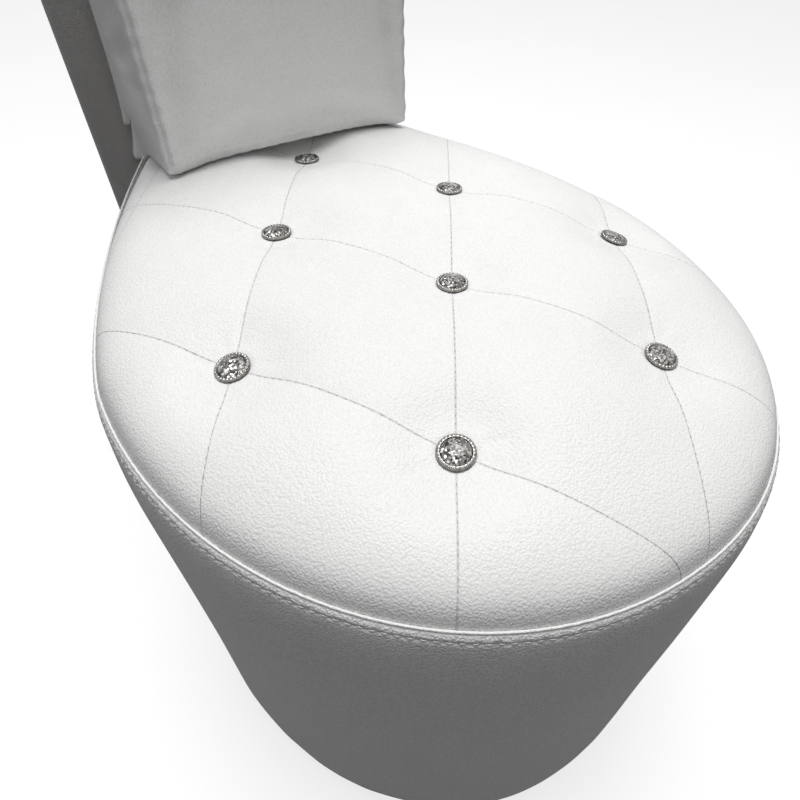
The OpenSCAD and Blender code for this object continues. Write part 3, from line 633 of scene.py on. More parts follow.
def quilt(name, pad, grid_lines, reach, count, place, buttons, start, direction):
    """Stitches on a tufted pad, along both families of grid lines but clear of its buttons.

    place(u, v) is where a place on the grid lies, in millimetres, or None where there are no stitches."""
    tree = surface_probe(pad)
    parts = []
    for family in (0, 1):
        for k in grid_lines:
            along = [(k, s) if family == 0 else (s, k) for s in np.linspace(-reach, reach, count)]
            line = [spot for spot in (place(u, v) for u, v in along) if spot is not None]
            if not line:
                continue
            line = np.array(line)
            near = np.min([np.linalg.norm(line - button, axis=1) for button in buttons], axis=0)
            line = line[near >= BUTTON_D / 2 + 3]
            jumps = np.where(np.linalg.norm(np.diff(line, axis=0), axis=1) > 8)[0] + 1
            for run in np.split(line, jumps):
                if len(run) < 12:
                    continue
                places, normals = dropped(tree, in_part(run), start, direction)
                if len(places) > 5:
                    parts += stitch_run(places, normals, *QUILT_STITCH)
    return finish_piece(make_object(name, *merge(parts)), "thread")


# ---- the seat
def drawn_in(line, s):
    return np.stack([line[:, 0] * s, RING_MIDDLE + (line[:, 1] - RING_MIDDLE) * s], -1)


def with_tail(line, n=60):
    """The outline of the seat's top, closed by a straight run along the back's pad."""
    e = line[-1, 0]
    i = np.arange(1, n)
    return np.concatenate([line, np.stack([e - 2 * e * i / n, np.full(n - 1, PAD_END)], -1)])


def line_normals(line):
    d = np.gradient(line, axis=0)
    return unit(np.stack([d[:, 1], -d[:, 0]], -1))


def run_length(line):
    return np.concatenate([[0], np.cumsum(np.linalg.norm(np.diff(line, axis=0), axis=1))])


def pucker(at, pitch=9.0):
    """Uneven gathers along a sewn edge, from -1 to 1."""
    wave = np.sin(2 * np.pi * at / pitch + 3.5 * drift(at, 46.0, 4.2, 0.3))
    return wave * (0.55 + 0.9 * drift(at, 31.0, 9.1, 7.7))


def build_seat_pad():
    """The top, in rings from its pocket round its edge to the middle, closest together at the rim."""
    edge = with_tail(seat_line(PAD_OFF, PAD_END))
    n = len(edge)
    pocket = drawn_in(with_tail(seat_line(WELT_D + SOFT_GAP, PAD_END)), POCKET_SHARE + SOFT_GAP / HALF_W)
    rings = [at_height(pocket, PAD_BASE + POCKET_H), at_height(pocket, PAD_BASE), at_height(edge, PAD_BASE)]
    gather = pucker(run_length(edge), 13.0)
    rim = [1, 0.9985, 0.997, 0.995, 0.993, 0.9905, 0.988, 0.985, 0.982, 0.9785]
    for s in np.concatenate([rim, np.linspace(0.974, 0.006, 160)]):
        p = drawn_in(edge, s)
        x, y = p.T
        e = np.maximum(edge_off(x, y) - PAD_OFF, 0)
        rings.append(np.column_stack([p, SEAM_H + seat_z(x, y) + 0.3 * gather * np.exp(-e / 8)]))
    tips = [[0, RING_MIDDLE, PAD_BASE + POCKET_H],
            [0, RING_MIDDLE, SEAM_H + float(seat_z(0.0, RING_MIDDLE))]]
    verts = np.concatenate(rings + [tips])
    top = verts[3 * n:-2]
    x, y = top[:, 0], top[:, 1]
    soft = wobble(top, 70.0, 3.1) * 0.55 + wobble(top, 24.0, 5.7) * 0.16
    calm = ease((1 - rho(x, y)) / 0.12) * (1 - np.minimum(dimples(x, y, SEAT_BUTTONS), 1))
    verts[3 * n:-2, 2] += soft * calm
    rows = len(rings)
    faces = grid_faces(rows, n, wrap=True)
    faces += fan(list(range(n)), rows * n, flip=True)
    faces += fan(list(range((rows - 1) * n, rows * n)), rows * n + 1)
    obj = make_object("seat_pad_top", in_part(verts), faces)
    return finish_piece(obj, "vinyl_seat", replaces=("seat_pad",))


def on_seat(u, v):
    x, y = tuft_place(u, v)
    return None if y > PAD_END - 2 or rho(x, y) > 0.965 else (x, y, SEAM_H)


def build_welt(name, line, lift, radius, node, upright=False):
    """A piped cord along a line; its skin gathers slightly at the seam."""
    normals = line_normals(line)
    wave = pucker(run_length(line))
    sides = 20
    rings = []
    for i, (p, n) in enumerate(zip(line, normals)):
        r = radius * (1 + 0.035 * wave[i])
        sway = 0.22 * wave[i]
        ring = []
        for k in range(sides):
            a = 2 * math.pi * k / sides
            out = math.cos(a) * r
            up = math.sin(a) * r + sway * max(math.sin(a), 0)
            if upright:
                ring.append((p[0] + n[0] * out, lift - up, p[1] + n[1] * out))
            else:
                ring.append((p[0] + n[0] * out, p[1] + n[1] * out, lift + up))
        rings.append(ring)
    rows = len(rings)
    faces = grid_faces(rows, sides, wrap=True) + end_caps(rows, sides)
    obj = make_object(name, in_part(np.array(rings).reshape(-1, 3)), faces)
    return finish_piece(obj, "vinyl_white", replaces=(node,))


def band_off(d):
    """The band starts under the seat's bead, rolls over to its topstitch, then swells into the side."""
    low = np.maximum(d - TOPSTITCH, 0)
    step = STEP_IN * (1 - np.exp(-d / STEP_RUN)) + WAIST_IN * (1 - np.exp(-low / WAIST_RUN))
    return BAND_START - step + BAND_TAPER * low / BAND_DEPTH


def build_side_band():
    """The band, in columns from its top edge to the plinth and up again inside, with its topstitch."""
    near_seam = [0, 0.3, 0.6, 1, 1.5, 2, 2.6, 3.3, 4, 4.7, 5.2, 5.6, TOPSTITCH, 6.4, 6.8, 7.3, 8, 9, 10.5,
                 12, 14, 16.5, 19, 22, 26, 31]
    drops = np.concatenate([near_seam, np.linspace(38, BAND_DEPTH - 4, 46), [BAND_DEPTH - 1.5, BAND_DEPTH]])
    at = run_length(seat_line(0.0, front=460, rear=150))
    wave = pucker(at, 11.0)
    rings = []
    for d in drops:
        line = seat_line(band_off(d), front=460, rear=150)
        gather = 0.4 * np.exp(-(abs(d - TOPSTITCH - 2) / 7.0)) * wave
        seam = -0.8 * math.exp(-((d - TOPSTITCH) / 1.0) ** 2)
        slow = drift(at, 90.0, d / 130.0, 1.5) * 1.1 * ease(d / 60.0)
        fall = drift(at, 24.0, d / 210.0, 8.5) * 0.45 * ease(d / 30.0)
        hem = -2.5 * ease((d - (BAND_DEPTH - 5)) / 5.0)
        swell_out = (gather + seam + slow + fall) * ease(d / 2.0) + hem
        rings.append(at_height(line + line_normals(line) * swell_out[:, None], BAND_TOP - d))
    inner = seat_line(2.0, front=460, rear=150)
    rings += [at_height(inner, PLINTH_TOP), at_height(inner, PAD_BASE)]
    loops = np.array(rings).transpose(1, 0, 2)
    rows, cols = loops.shape[:2]
    faces = grid_faces(rows, cols, wrap=True) + end_caps(rows, cols)
    obj = make_object("band_skin", in_part(loops.reshape(-1, 3)), faces)
    finish_piece(obj, "vinyl_band", replaces=("side_band",))
    row = int(np.argmin(abs(drops - TOPSTITCH)))
    path = in_part(loops[:, row])
    slope = in_part(loops[:, row + 2]) - in_part(loops[:, row - 2])
    normals = unit(np.cross(np.gradient(path, axis=0), slope))
    if np.mean(np.sum(normals * at_height(line_normals(path[:, :2]), 0), axis=1)) < 0:
        normals = -normals
    stitches = make_object("band_topstitch", *merge(stitch_run(path, normals, *BAND_STITCH, sink=-1.3)))
    finish_piece(stitches, "thread_white")
    return obj


# ---- buttons
BEZEL_TEETH = 28
BEZEL_SIDES = 6 * BEZEL_TEETH
STONE_SIDES = 14


def bezel_mesh():
    """A metal cup with a milled rim: the radius, height and depth of milling of each ring."""
    profile = np.array([
        (0.01, -3.0, 0), (2.5, -3.0, 0), (2.5, 0.0, 0), (11.2, 0.0, 0), (12.2, 0.4, 0), (12.45, 0.9, 0),
        (12.4, 1.4, 0.1), (12.35, 1.8, 0.25), (12.15, 2.3, 0.4), (11.75, 2.7, 0.55), (11.3, 2.85, 0.6),
        (10.9, 2.75, 0.45), (10.6, 2.5, 0.1), (10.35, 2.6, 0), (10.1, 2.45, 0), (9.95, 1.5, 0),
        (0.01, 1.4, 0)])
    r, z, mill = profile.T[:, :, None]
    turn = 2 * np.pi * np.arange(BEZEL_SIDES) / BEZEL_SIDES
    cut = mill * (0.5 - 0.5 * np.cos(turn * BEZEL_TEETH))
    verts = np.stack([(r - 0.4 * cut) * np.cos(turn), (r - 0.4 * cut) * np.sin(turn), z - cut], -1)
    return verts.reshape(-1, 3), grid_faces(len(profile), BEZEL_SIDES, wrap=True)


def crystal_mesh():
    """A cut stone: girdle, crown facets and a small table, as radius, height and turn of each ring."""
    cuts = [(9.85, 1.45, 0.0), (9.85, 2.0, 0.0), (8.8, 3.0, 0.5), (6.6, 3.95, 1.0), (3.9, 4.6, 1.5)]
    sides = STONE_SIDES
    verts = []
    for r, z, turn in cuts:
        for k in range(sides):
            a = 2 * math.pi * (k + turn) / sides
            verts.append((r * math.cos(a), r * math.sin(a), z))
    faces = end_caps(len(cuts), sides)
    for a, b, d, c in grid_faces(len(cuts), sides, wrap=True):
        faces += [(a, b, c), (b, d, c)]
    return np.array(verts), faces


def place_all(shape, frames):
    verts, faces = shape
    return merge([((at_height(verts, 1.0) @ np.array(m).T)[:, :3], faces) for m in frames])


def seat_button_frames():
    frames = []
    h = 5.0
    for bx, by in SEAT_BUTTONS:
        across = (crown(bx + h, by) - crown(bx - h, by)) / (2 * h)
        along = (crown(bx, by + h) - crown(bx, by - h)) / (2 * h)
        z = SEAM_H + float(seat_z(bx, by, fine=False)) - BUTTON_SINK + BEZEL_FLOOR
        turn = Matrix.Rotation(-math.atan(across), 4, "Y") @ Matrix.Rotation(math.atan(along), 4, "X")
        frames.append(Matrix.Translation((bx, by, z)) @ turn)
    return frames


def build_buttons(prefix, frames, bezel_node, crystal_node):
    verts, faces = place_all(bezel_mesh(), frames)
    bezel = make_object(prefix + "_bezels", in_part(verts), faces)
    finish_piece(bezel, "bezel_metal", replaces=(bezel_node,))
    verts, faces = place_all(crystal_mesh(), frames)
    stones = make_object(prefix + "_stones", in_part(verts), faces, smooth=False)
    finish_piece(stones, "crystal", replaces=(crystal_node,))


# ---- the back's shell
# The opening in the cover's face at the drum's tail board, in metres: half width, lower and upper end.
TAIL_HOLE = (0.113, 0.058, 0.42)
VINYL_T = 0.003
# In millimetres: the groove between cover and rear panel. In turns of the front edge: the seam round it.
GROOVE, GROOVE_RUN = 1.4, 4.0
FOLD_AT, FOLD_RUN = 0.42, 0.055


def shell_outline():
    """Stations round the face's left half, from the bottom up: (kind, position, direction in degrees)."""
    stations = [("side", t, 0.0) for t in np.linspace(0, 1, 90)]
    stations += [("arch", a, a) for a in np.linspace(0, 90, 29)[1:]]
    stations += [("top", t, 90.0) for t in np.linspace(0, 1, 16)[1:]]
    return stations


def shell_point(kind, t, inset, y):
    """A point of the left half of the shell, inset from the outline, y behind the face."""
    r = max(BACK_TOP_R - inset, 0.0)
    cx, cz = BACK_W / 2 - inset - r, BACK_H - inset - r
    if kind == "side":
        x, z = cx + r, PLINTH_TOP + (cz - PLINTH_TOP) * t
    elif kind == "arch":
        x, z = cx + r * math.cos(math.radians(t)), cz + r * math.sin(math.radians(t))
    else:
        x, z = cx * (1 - t), cz + r
    return (-x, SEAT_REAR + y, z)


def shell_profile(theta, part):
    """Inset and depth across the shell's edge, front to rear, for one direction of the outline."""
    side = 1 - ease(theta / 32.0)
    front_r = SHELL_TOP_R + (SHELL_FRONT_R - SHELL_TOP_R) * side
    rear_r = SHELL_TOP_R + (SHELL_REAR_R - SHELL_TOP_R) * side
    if part == "cover":
        insets = np.concatenate([np.linspace(180, 60, 13), [52, 46, 42, 39.5]])
        face = [(max(d, front_r), 0.0) for d in insets]
        turn = []
        for t in np.arange(25) / 24:
            r = front_r - math.exp(-((t - FOLD_AT) / FOLD_RUN) ** 2)
            a = t * math.pi / 2
            turn.append((front_r - r * math.sin(a), front_r - r * math.cos(a)))
        run = [(GROOVE * ease(1 + (y - SHELL_SEAM) / GROOVE_RUN), y)
               for y in np.linspace(front_r, SHELL_SEAM, 8)[1:]]
        return face + turn + run
    end = max(BACK_D - rear_r, SHELL_SEAM + 0.3)
    run = [(GROOVE * ease(1 - (y - SHELL_SEAM) / GROOVE_RUN), y)
           for y in np.linspace(SHELL_SEAM, end, 8)[:-1]]
    turn = [(rear_r - rear_r * math.cos(a), BACK_D - rear_r + rear_r * math.sin(a))
            for a in np.arange(21) / 20 * math.pi / 2]
    face = [(max(d, rear_r), BACK_D) for d in np.concatenate([[48, 52, 60], np.linspace(70, 180, 12)])]
    return run + turn + face


def build_shell(part, name, node):
    left = np.array([[shell_point(kind, t, d, y) for d, y in shell_profile(theta, part)]
                     for kind, t, theta in shell_outline()])
    right = left[:-1][::-1] * (-1, 1, 1)
    loops = np.concatenate([left, right])
    rows, cols = loops.shape[:2]
    verts = loops.reshape(-1, 3)
    verts[:, 1] += (-0.3 if part == "rear" else 0.3) * np.abs(wobble(verts, 90.0, 1.3))
    obj = make_object(name, in_part(verts), grid_faces(rows, cols))
    bm = bmesh.new()
    bm.from_mesh(obj.data)
    bmesh.ops.remove_doubles(bm, verts=bm.verts, dist=2e-5)
    if part == "cover":
        half, low, high = TAIL_HOLE
        face_y = (SEAT_REAR + WIDE_Y + 2) * 0.001
        spots = [(f, f.calc_center_median()) for f in bm.faces]
        hole = [f for f, c in spots if abs(c.x) < half and low < c.z < high and c.y < face_y]
        bmesh.ops.delete(bm, geom=hole, context="FACES")
    bmesh.ops.recalc_face_normals(bm, faces=bm.faces)
    middle = Vector((0, (SEAT_REAR + WIDE_Y + BACK_D / 2) * 0.001, 0.6))
    outward = sum((f.calc_center_median() - middle).dot(f.normal) * f.calc_area() for f in bm.faces)
    if outward < 0:
        bmesh.ops.reverse_faces(bm, faces=bm.faces)
    bm.to_mesh(obj.data)
    bm.free()
    shade_smooth(obj)
    solid = obj.modifiers.new("thickness", "SOLIDIFY")
    solid.thickness = VINYL_T
    solid.offset = -1
    return finish_piece(obj, "vinyl_grey", replaces=(node,))


# ---- the back's pad
def pad_half(z):
    """Half width of the pad, z above the seat's seam."""
    low = PAD_HALF_W + PAD_FLARE * np.exp(-np.maximum(z, 0) / PAD_FLARE_RUN)
    high = PAD_HALF_W - PAD_TOP_R + np.sqrt(np.maximum(PAD_TOP_R ** 2 - (z - PAD_BEND) ** 2, 0))
    return np.where(z < PAD_BEND, low, high)


def pad_face(x, z, c, fine=True):
    """Thickness of the pad; c runs from -1 to 1 across it, and fine adds the creases."""
    g = (z + SEAM_H - BACK_BUTTONS[0][1]) / (2 * BACK_BUTTON_DROP)
    rise = ease((z - 62.0) / 90.0)
    fall = 1 - np.maximum((z - PAD_BEND) / PAD_TOP_R, 0) ** 3
    swell_out = PAD_CROWN - DIMPLE_H * dimples(x, z + SEAM_H, BACK_BUTTONS)
    swell_out = swell_out - PUFF_H * (1 - puff(g + x / BACK_TUFT_W, g - x / BACK_TUFT_W))
    if fine:
        swell_out = swell_out + BACK_PLEAT * pleats(x, z + SEAM_H, BACK_BUTTONS)
    return PAD_EDGE_T + rise * fall * (1 - np.abs(c) ** 5) * swell_out


def build_back_pad():
    levels = np.concatenate([np.linspace(PAD_LOW, PAD_BEND, 230)[:-1],
                             PAD_BEND + PAD_TOP_R * np.sin(np.linspace(0, np.pi / 2, 44))])
    cols = 120
    even = np.linspace(-1, 1, cols + 1)
    across = np.sin(even * np.pi / 2) * 0.35 + even * 0.65
    rows = []
    for z in levels:
        half = max(float(pad_half(z)), 1.0)
        x = across * half
        face = pad_face(x, np.full_like(x, z), across) - 2.5 * np.exp(-((1 - np.abs(across)) * half / 4.0))
        rows.append([(-half, 0.0, z)] + [(xi, f, z) for xi, f in zip(x, face)] + [(half, 0.0, z)])
    loops = np.array(rows)
    soft = wobble(loops.reshape(-1, 3), 60.0, 6.4).reshape(loops.shape[:2])
    loops[:, 2:-2, 1] += soft[:, 2:-2] * 0.4
    verts = np.stack([loops[..., 0], SEAT_REAR - loops[..., 1], loops[..., 2] + SEAM_H], -1)
    rows, cols = loops.shape[:2]
    faces = grid_faces(rows, cols, wrap=True) + end_caps(rows, cols)
    obj = make_object("back_pad_face", in_part(verts.reshape(-1, 3)), faces)
    return finish_piece(obj, "vinyl_white", replaces=("back_pad",))


def on_back(u, v):
    x, h = BACK_TUFT_W * (u - v) / 2, BACK_BUTTON_DROP * (u + v) + BACK_BUTTONS[0][1]
    z = h - SEAM_H
    outside = z < 150 or z > PAD_HIGH - 8 or abs(x) > pad_half(z) - 5
    return None if outside else (x, SEAT_REAR, h)


def back_button_frames():
    frames = []
    for bx, bh in BACK_BUTTONS:
        z = bh - SEAM_H
        y = SEAT_REAR - float(pad_face(bx, z, bx / pad_half(z), fine=False)) + BUTTON_SINK - BEZEL_FLOOR
        frames.append(Matrix.Translation((bx, y, bh)) @ Matrix.Rotation(math.radians(90), 4, "X"))
    return frames


def back_welt_line():
    """The line of the piping round the back's pad, as width and height."""
    levels = np.linspace(CROWN_H - TAIL_FALL + WELT_D, PAD_BEND, 230)
    out = WELT_D / 2 + SOFT_GAP
    side = np.stack([pad_half(levels) + out, levels], -1)
    a = np.linspace(0, np.pi / 2, 60)[1:]
    r = PAD_TOP_R + out
    arch = np.stack([PAD_HALF_W - PAD_TOP_R + r * np.cos(a), PAD_BEND + r * np.sin(a)], -1)
    right = np.concatenate([side, arch])
    left = right[::-1] * (-1, 1)
    span = np.linspace(right[-1, 0], left[0, 0], 40)[1:-1]
    top = np.stack([span, np.full(len(span), right[-1, 1])], -1)
    return np.concatenate([right, top, left]) + (0, SEAM_H)


# ---- the loose cushion, in metres
CUSHION_CORNER, CUSHION_EDGE = 0.010, 0.008
# Before it swells the cushion is smaller by this on each side; then its box is the solid's again.
SLACK = (0.004, 0.008, 0.003)
VOXEL, PRESSURE, STEPS, SWELL_CAP = 0.0055, 4.0, 20, 0.009
STITCH_ASIDE = 0.008
# How far from a seam, and from the underside, it swells freely, and the share of the swelling at a seam.
FREE_FROM_SEAM, FREE_FROM_UNDERSIDE, SWELL_AT_SEAM = 0.055, 0.03, 0.1
# How it lies: the height over which it sinks onto the seat, its lean, more to the left, and its width.
SINK_OVER, LEAN, LEAN_LEFT, SINK_GAP, NARROWER = 0.20, 0.0200, 0.07, 1.2, 0.97


def boxed(points, half):
    """A cube's surface as a boxed cushion: faces with round corners, and tighter edges to the boxing."""
    flat, tall = points[:, [0, 2]], half[[0, 2]]
    level = np.maximum(np.abs(flat).max(1), 1e-6)[:, None]
    q = flat * tall
    core = np.clip(q, level * (CUSHION_CORNER - tall), level * (tall - CUSHION_CORNER))
    d = q - core
    q = core + level * CUSHION_CORNER * d / np.maximum(np.linalg.norm(d, axis=1), 1e-9)[:, None]
    y = points[:, 1] * half[1]
    over = np.maximum(np.abs(y) - half[1] + CUSHION_EDGE, 0)[:, None]
    q = q * (1 - (CUSHION_EDGE - np.sqrt(np.maximum(CUSHION_EDGE ** 2 - over ** 2, 0))) / tall)
    return np.column_stack([q[:, 0], y, q[:, 1]])


def cube_grid(n):
    verts, faces = [], []
    for axis in range(3):
        for sign in (-1, 1):
            base = len(verts)
            for i in range(n + 1):
                for j in range(n + 1):
                    p = [0.0, 0.0, 0.0]
                    p[axis], p[(axis + 1) % 3], p[(axis + 2) % 3] = sign, 2 * i / n - 1, 2 * j / n - 1
                    verts.append(p)
            faces += grid_faces(n + 1, n + 1, base=base)
    return np.array(verts), faces


def cushion_seams(half):
    """The two seams between the faces and the boxing."""
    t = np.linspace(-1, 1, 140)
    one = np.ones_like(t)
    sides = ((t, -one), (one, t), (-t, one), (-one, -t))
    square = np.concatenate([np.stack(side, -1)[:-1] for side in sides])
    depth = 1 - 0.29 * CUSHION_EDGE / half[1]
    return [boxed(np.stack([square[:, 0], np.full(len(square), face * depth), square[:, 1]], -1), half)
            for face in (-1, 1)]


def build_cushion():
    low, high = (np.array(c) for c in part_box("back_cushion"))
    centre, half = (low + high) / 2, (high - low) / 2
    start = half - np.array(SLACK)
    points, faces = cube_grid(48)
    obj = make_object("loose_cushion", centre + boxed(points, start), faces)
    face_outwards(obj, weld=1e-5)

    def freedom(p):
        from_seam = np.sort(start - np.abs(p - centre), axis=1)[:, 1]
        from_below = p[:, 2] - centre[2] + start[2]
        free = ease(from_seam / FREE_FROM_SEAM) * ease(from_below / FREE_FROM_UNDERSIDE)
        return SWELL_AT_SEAM + (1 - SWELL_AT_SEAM) * free

    swell(obj, freedom)
    fit_inside(obj, low, high)
    stitches = sew(obj, [centre + loop for loop in cushion_seams(half - 0.001)], depth=0.0024, width=0.0032)
    settle(obj.data.vertices, low, high)
    finish_piece(obj, "vinyl_white", "cushion", ("back_cushion",))
    thread_obj = make_object("cushion_stitches", *merge(stitches))
    settle(thread_obj.data.vertices, low, high)
    finish_piece(thread_obj, "thread_white", "cushion")
    return obj


def settle(vertices, low, high):
    """The cushion's underside sinks onto the domed seat, and its face leans forward, most on the left."""
    co = coordinates(vertices)
    x = co[:, 0] * 1000
    y = np.clip(co[:, 1] * 1000 - WIDE_Y, 150, PAD_END - 1)
    drop = low[2] * 1000 - SINK_GAP - SEAM_H - PUFF_H - crown(x, y) - edge_roll(x, y)
    co[:, 2] -= 0.001 * drop * (1 - ease((co[:, 2] - low[2]) / SINK_OVER))
    front = 1 - ease((co[:, 1] - low[1]) / (high[1] - low[1]))
    co[:, 1] -= front * (LEAN - LEAN_LEFT * co[:, 0])
    co[:, 0] *= NARROWER
    vertices.foreach_set("co", co.reshape(-1))


def swell(obj, freedom):
    """Inflates a closed mesh a little with cloth, and keeps the result, less where the mesh is held."""
    bpy.context.view_layer.objects.active = obj
    for o in bpy.context.selected_objects:
        o.select_set(False)
    obj.select_set(True)
    remesh = obj.modifiers.new("remesh", "REMESH")
    remesh.mode = "VOXEL"
    remesh.voxel_size = VOXEL
    bpy.ops.object.modifier_apply(modifier=remesh.name)
    before = coordinates(obj.data.vertices)
    cloth = obj.modifiers.new("cloth", "CLOTH")
    cloth.settings.use_pressure = True
    cloth.settings.uniform_pressure_force = PRESSURE
    cloth.settings.effector_weights.gravity = 0
    cloth.settings.quality = 5
    cloth.point_cache.frame_start = 1
    cloth.point_cache.frame_end = STEPS
    scene = bpy.context.scene
    for f in range(1, STEPS + 1):
        scene.frame_set(f)
    depsgraph = bpy.context.evaluated_depsgraph_get()
    move = coordinates(obj.evaluated_get(depsgraph).data.vertices) - before
    obj.modifiers.remove(cloth)
    scene.frame_set(1)
    far = np.linalg.norm(move, axis=1)
    move *= (np.minimum(1, SWELL_CAP / np.maximum(far, 1e-9)) * freedom(before))[:, None]
    obj.data.vertices.foreach_set("co", (before + move).reshape(-1))
    obj.data.update()
    sub = obj.modifiers.new("sub", "SUBSURF")
    sub.levels = sub.render_levels = 1
    bpy.ops.object.modifier_apply(modifier=sub.name)
    shade_smooth(obj)


def fit_inside(obj, low, high):
    """Scales a mesh so that its box is the given one."""
    co = coordinates(obj.data.vertices)
    a, b = co.min(0), co.max(0)
    obj.data.vertices.foreach_set("co", (low + (co - a) / (b - a) * (high - low)).reshape(-1))
    obj.data.update()


def sew(obj, seams, depth, width):
    """Draws a mesh in along its seams, with gathers, and returns the stitches beside them."""
    tree = surface_probe(obj)
    snapped = [np.array([tuple(tree.find_nearest(Vector(p))[0]) for p in seam]) for seam in seams]
    points = np.concatenate([np.concatenate([s, (s + np.roll(s, -1, 0)) / 2]) for s in snapped])
    near = KDTree(len(points))
    for i, p in enumerate(points):
        near.insert(Vector(p), i)
    near.balance()
    mesh = obj.data
    for v in mesh.vertices:
        _, i, d = near.find(v.co)
        if d < 0.03:
            gather = 0.0005 * math.sin(i * 0.9 + 3 * math.sin(i / 17)) * math.exp(-(d / 0.011) ** 2)
            v.co += v.normal * (gather - depth * math.exp(-(d / width) ** 2))
    mesh.update()
    tree = surface_probe(obj)
    parts = []
    for seam, inwards in zip(snapped, (1, -1)):
        aside = (seam.mean(0) - seam) * (1, 0, 1)
        beside = seam + unit(aside) * STITCH_ASIDE - (0, 0.02 * inwards, 0)
        places, normals = dropped(tree, beside, (0, 0, 0), (0, inwards, 0))
        parts += stitch_run(places, normals, *BOXING_STITCH)
    return parts


# ---- CAD nodes that stay
def dress_cad():
    for entry in frame["record"]["subparts"]:
        obj = frame["nodes"][entry["node"]]
        obj.data.materials.clear()
        obj.data.materials.append(MAT[entry["material_slot"]])
    for node, width in (("plinth", 0.003), ("glides", 0.0006), ("base_board", 0.0012)):
        bevel = frame["nodes"][node].modifiers.new("edge", "BEVEL")
        bevel.width = width
        bevel.segments = 3
        bevel.limit_method = "ANGLE"
        bevel.angle_limit = math.radians(40)


# ---- floor, light and camera
FLOOR_REACH = 14.0
# The floor's grey for light that it sends on, its glow for the eye, and the share of it that gloss sees.
FLOOR_DARK, FLOOR_GLOW, FLOOR_GLOSSY = 0.08, 0.80, 0.15
WORLD_LIGHT = 0.26
KEY_PLACE, KEY_AIM, KEY_SIZE, KEY_POWER = (0.12, 0.15, 3.2), (0, -0.05, 0.45), 1.5, 70
# The camera: degrees turned from the front, degrees down and degrees of roll, its place, lens and shift.
CAMERA_TURN, CAMERA_DOWN, CAMERA_ROLL = -35.08, 46.18, 3.19
CAMERA_PLACE, CAMERA_LENS, CAMERA_SHIFT = (-0.2247, -0.4743, 0.7436), 26.72, (-0.05698, 0.02396)


def sees_background(n, glossy):
    """1 for rays from the camera and through glass, which see the background; glossy for reflections."""
    path = n.add("ShaderNodeLightPath")
    direct = n.math("MAXIMUM", path.outputs["Is Camera Ray"], path.outputs["Is Transmission Ray"])
    return n.math("MAXIMUM", direct, n.math("MULTIPLY", path.outputs["Is Glossy Ray"], glossy))


def build_floor():
    mesh = bpy.data.meshes.new("floor")
    r = FLOOR_REACH
    mesh.from_pydata([(-r, -r, 0), (r, -r, 0), (r, r, 0), (-r, r, 0)], [], [(0, 1, 2, 3)])
    floor = new_object("floor", mesh)
    n = material_nodes("floor")
    seen = sees_background(n, FLOOR_GLOSSY)
    pale = n.mix(n.span(n.noise(3.0, 4.0), 0.3, 0.7), (0.34, 0.34, 0.34), (0.36, 0.36, 0.36))
    diffuse = n.add("ShaderNodeBsdfDiffuse", Color=n.mix(seen, (FLOOR_DARK, FLOOR_DARK, FLOOR_DARK), pale))
    strength = n.math("MULTIPLY", seen, FLOOR_GLOW)
    glow = n.add("ShaderNodeEmission", Color=(0.95, 0.95, 0.95, 1), Strength=strength)
    both = n.add("ShaderNodeAddShader")
    n.put(both, 0, diffuse.outputs[0])
    n.put(both, 1, glow.outputs[0])
    floor.data.materials.append(n.surface(both.outputs[0]))


def build_world():
    world = bpy.data.worlds.new("studio")
    bpy.context.scene.world = world
    n = Nodes(world, "ShaderNodeOutputWorld")
    mix = n.add("ShaderNodeMixShader")
    n.put(mix, 0, sees_background(n, 1.0))
    n.put(mix, 1, n.add("ShaderNodeBackground", Color=(0.98, 0.98, 1.0, 1), Strength=WORLD_LIGHT).outputs[0])
    n.put(mix, 2, n.add("ShaderNodeBackground", Color=(1, 1, 1, 1), Strength=1.0).outputs[0])
    n.surface(mix.outputs[0])


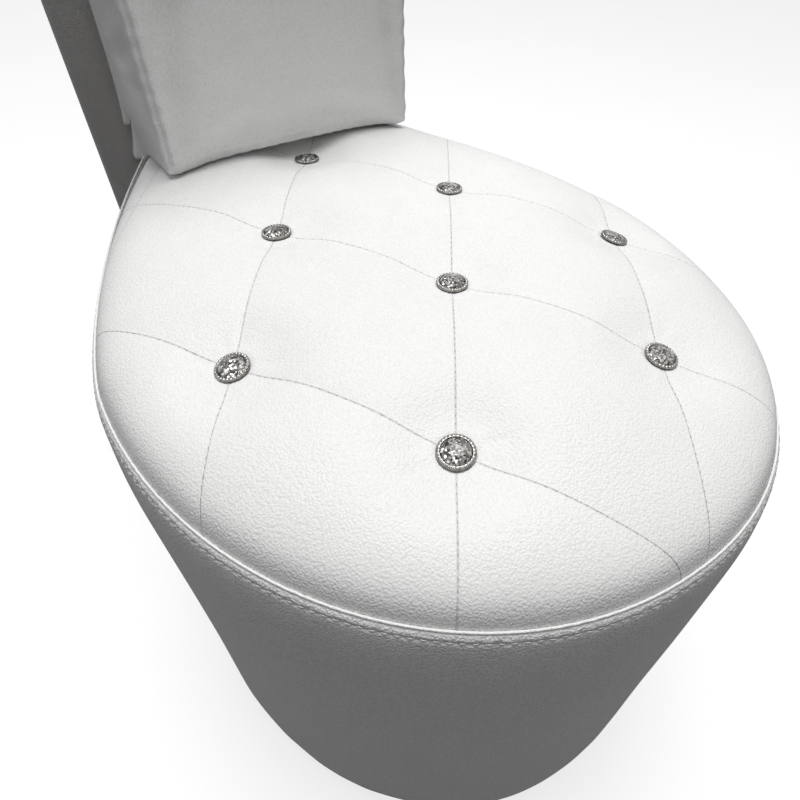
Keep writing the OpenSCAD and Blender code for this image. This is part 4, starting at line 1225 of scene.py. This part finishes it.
def build_key_light():
    data = bpy.data.lights.new("key", "AREA")
    data.shape = "RECTANGLE"
    data.size = data.size_y = KEY_SIZE
    data.energy = KEY_POWER
    lamp = new_object("key", data)
    lamp.location = KEY_PLACE
    lamp.rotation_euler = (Vector(KEY_AIM) - Vector(KEY_PLACE)).to_track_quat("-Z", "Y").to_euler()


def build_camera():
    turn, down, roll = (math.radians(a) for a in (CAMERA_TURN, CAMERA_DOWN, CAMERA_ROLL))
    ahead = Vector((-math.sin(turn) * math.cos(down), math.cos(turn) * math.cos(down), -math.sin(down)))
    right = Vector((math.cos(turn), math.sin(turn), 0))
    up = right.cross(ahead)
    right, up = math.cos(roll) * right + math.sin(roll) * up, math.cos(roll) * up - math.sin(roll) * right
    data = bpy.data.cameras.new("camera")
    data.sensor_width = 36
    data.lens = CAMERA_LENS
    data.shift_x, data.shift_y = CAMERA_SHIFT
    data.clip_start = 0.02
    cam = new_object("camera", data)
    cam.matrix_world = Matrix.Translation(CAMERA_PLACE) @ Matrix((right, up, -ahead)).transposed().to_4x4()
    bpy.context.scene.camera = cam


# ---- everything together
build_camera()
build_floor()
build_world()
build_key_light()
dress_cad()

seat_pad = build_seat_pad()
seat_spots = [(x, y, SEAM_H) for x, y in SEAT_BUTTONS]
quilt("seat_stitches", seat_pad, range(-2, 3), 2.6, 1400, on_seat, seat_spots, (0, 0, 0.12), (0, 0, -1))
bead_line = seat_line(BEAD_OFF, PAD_END - WELT_D / 3, front=760, rear=260)
build_welt("seat_welt_cord", bead_line, SEAM_H + BEAD_UP, BEAD_R, "seat_welt")
build_side_band()
build_buttons("seat_button", seat_button_frames(), "button_bezels", "button_crystals")

build_shell("cover", "back_cover_skin", "back_cover")
build_shell("rear", "back_rear_skin", "rear_panel")
back_pad = build_back_pad()
back_spots = [(x, SEAT_REAR, h) for x, h in BACK_BUTTONS]
quilt("back_stitches", back_pad, range(-3, 3), 6, 2400, on_back, back_spots, (0, -0.12, 0), (0, 1, 0))
build_welt("back_welt_cord", back_welt_line(), SEAT_REAR - WELT_D / 2 - SOFT_GAP, WELT_D / 2, "back_welt",
           upright=True)
build_buttons("back_button", back_button_frames(), "back_bezels", "back_crystals")

build_cushion()

bpy.context.scene.view_settings.view_transform = "Standard"
bpy.context.view_layer.update()
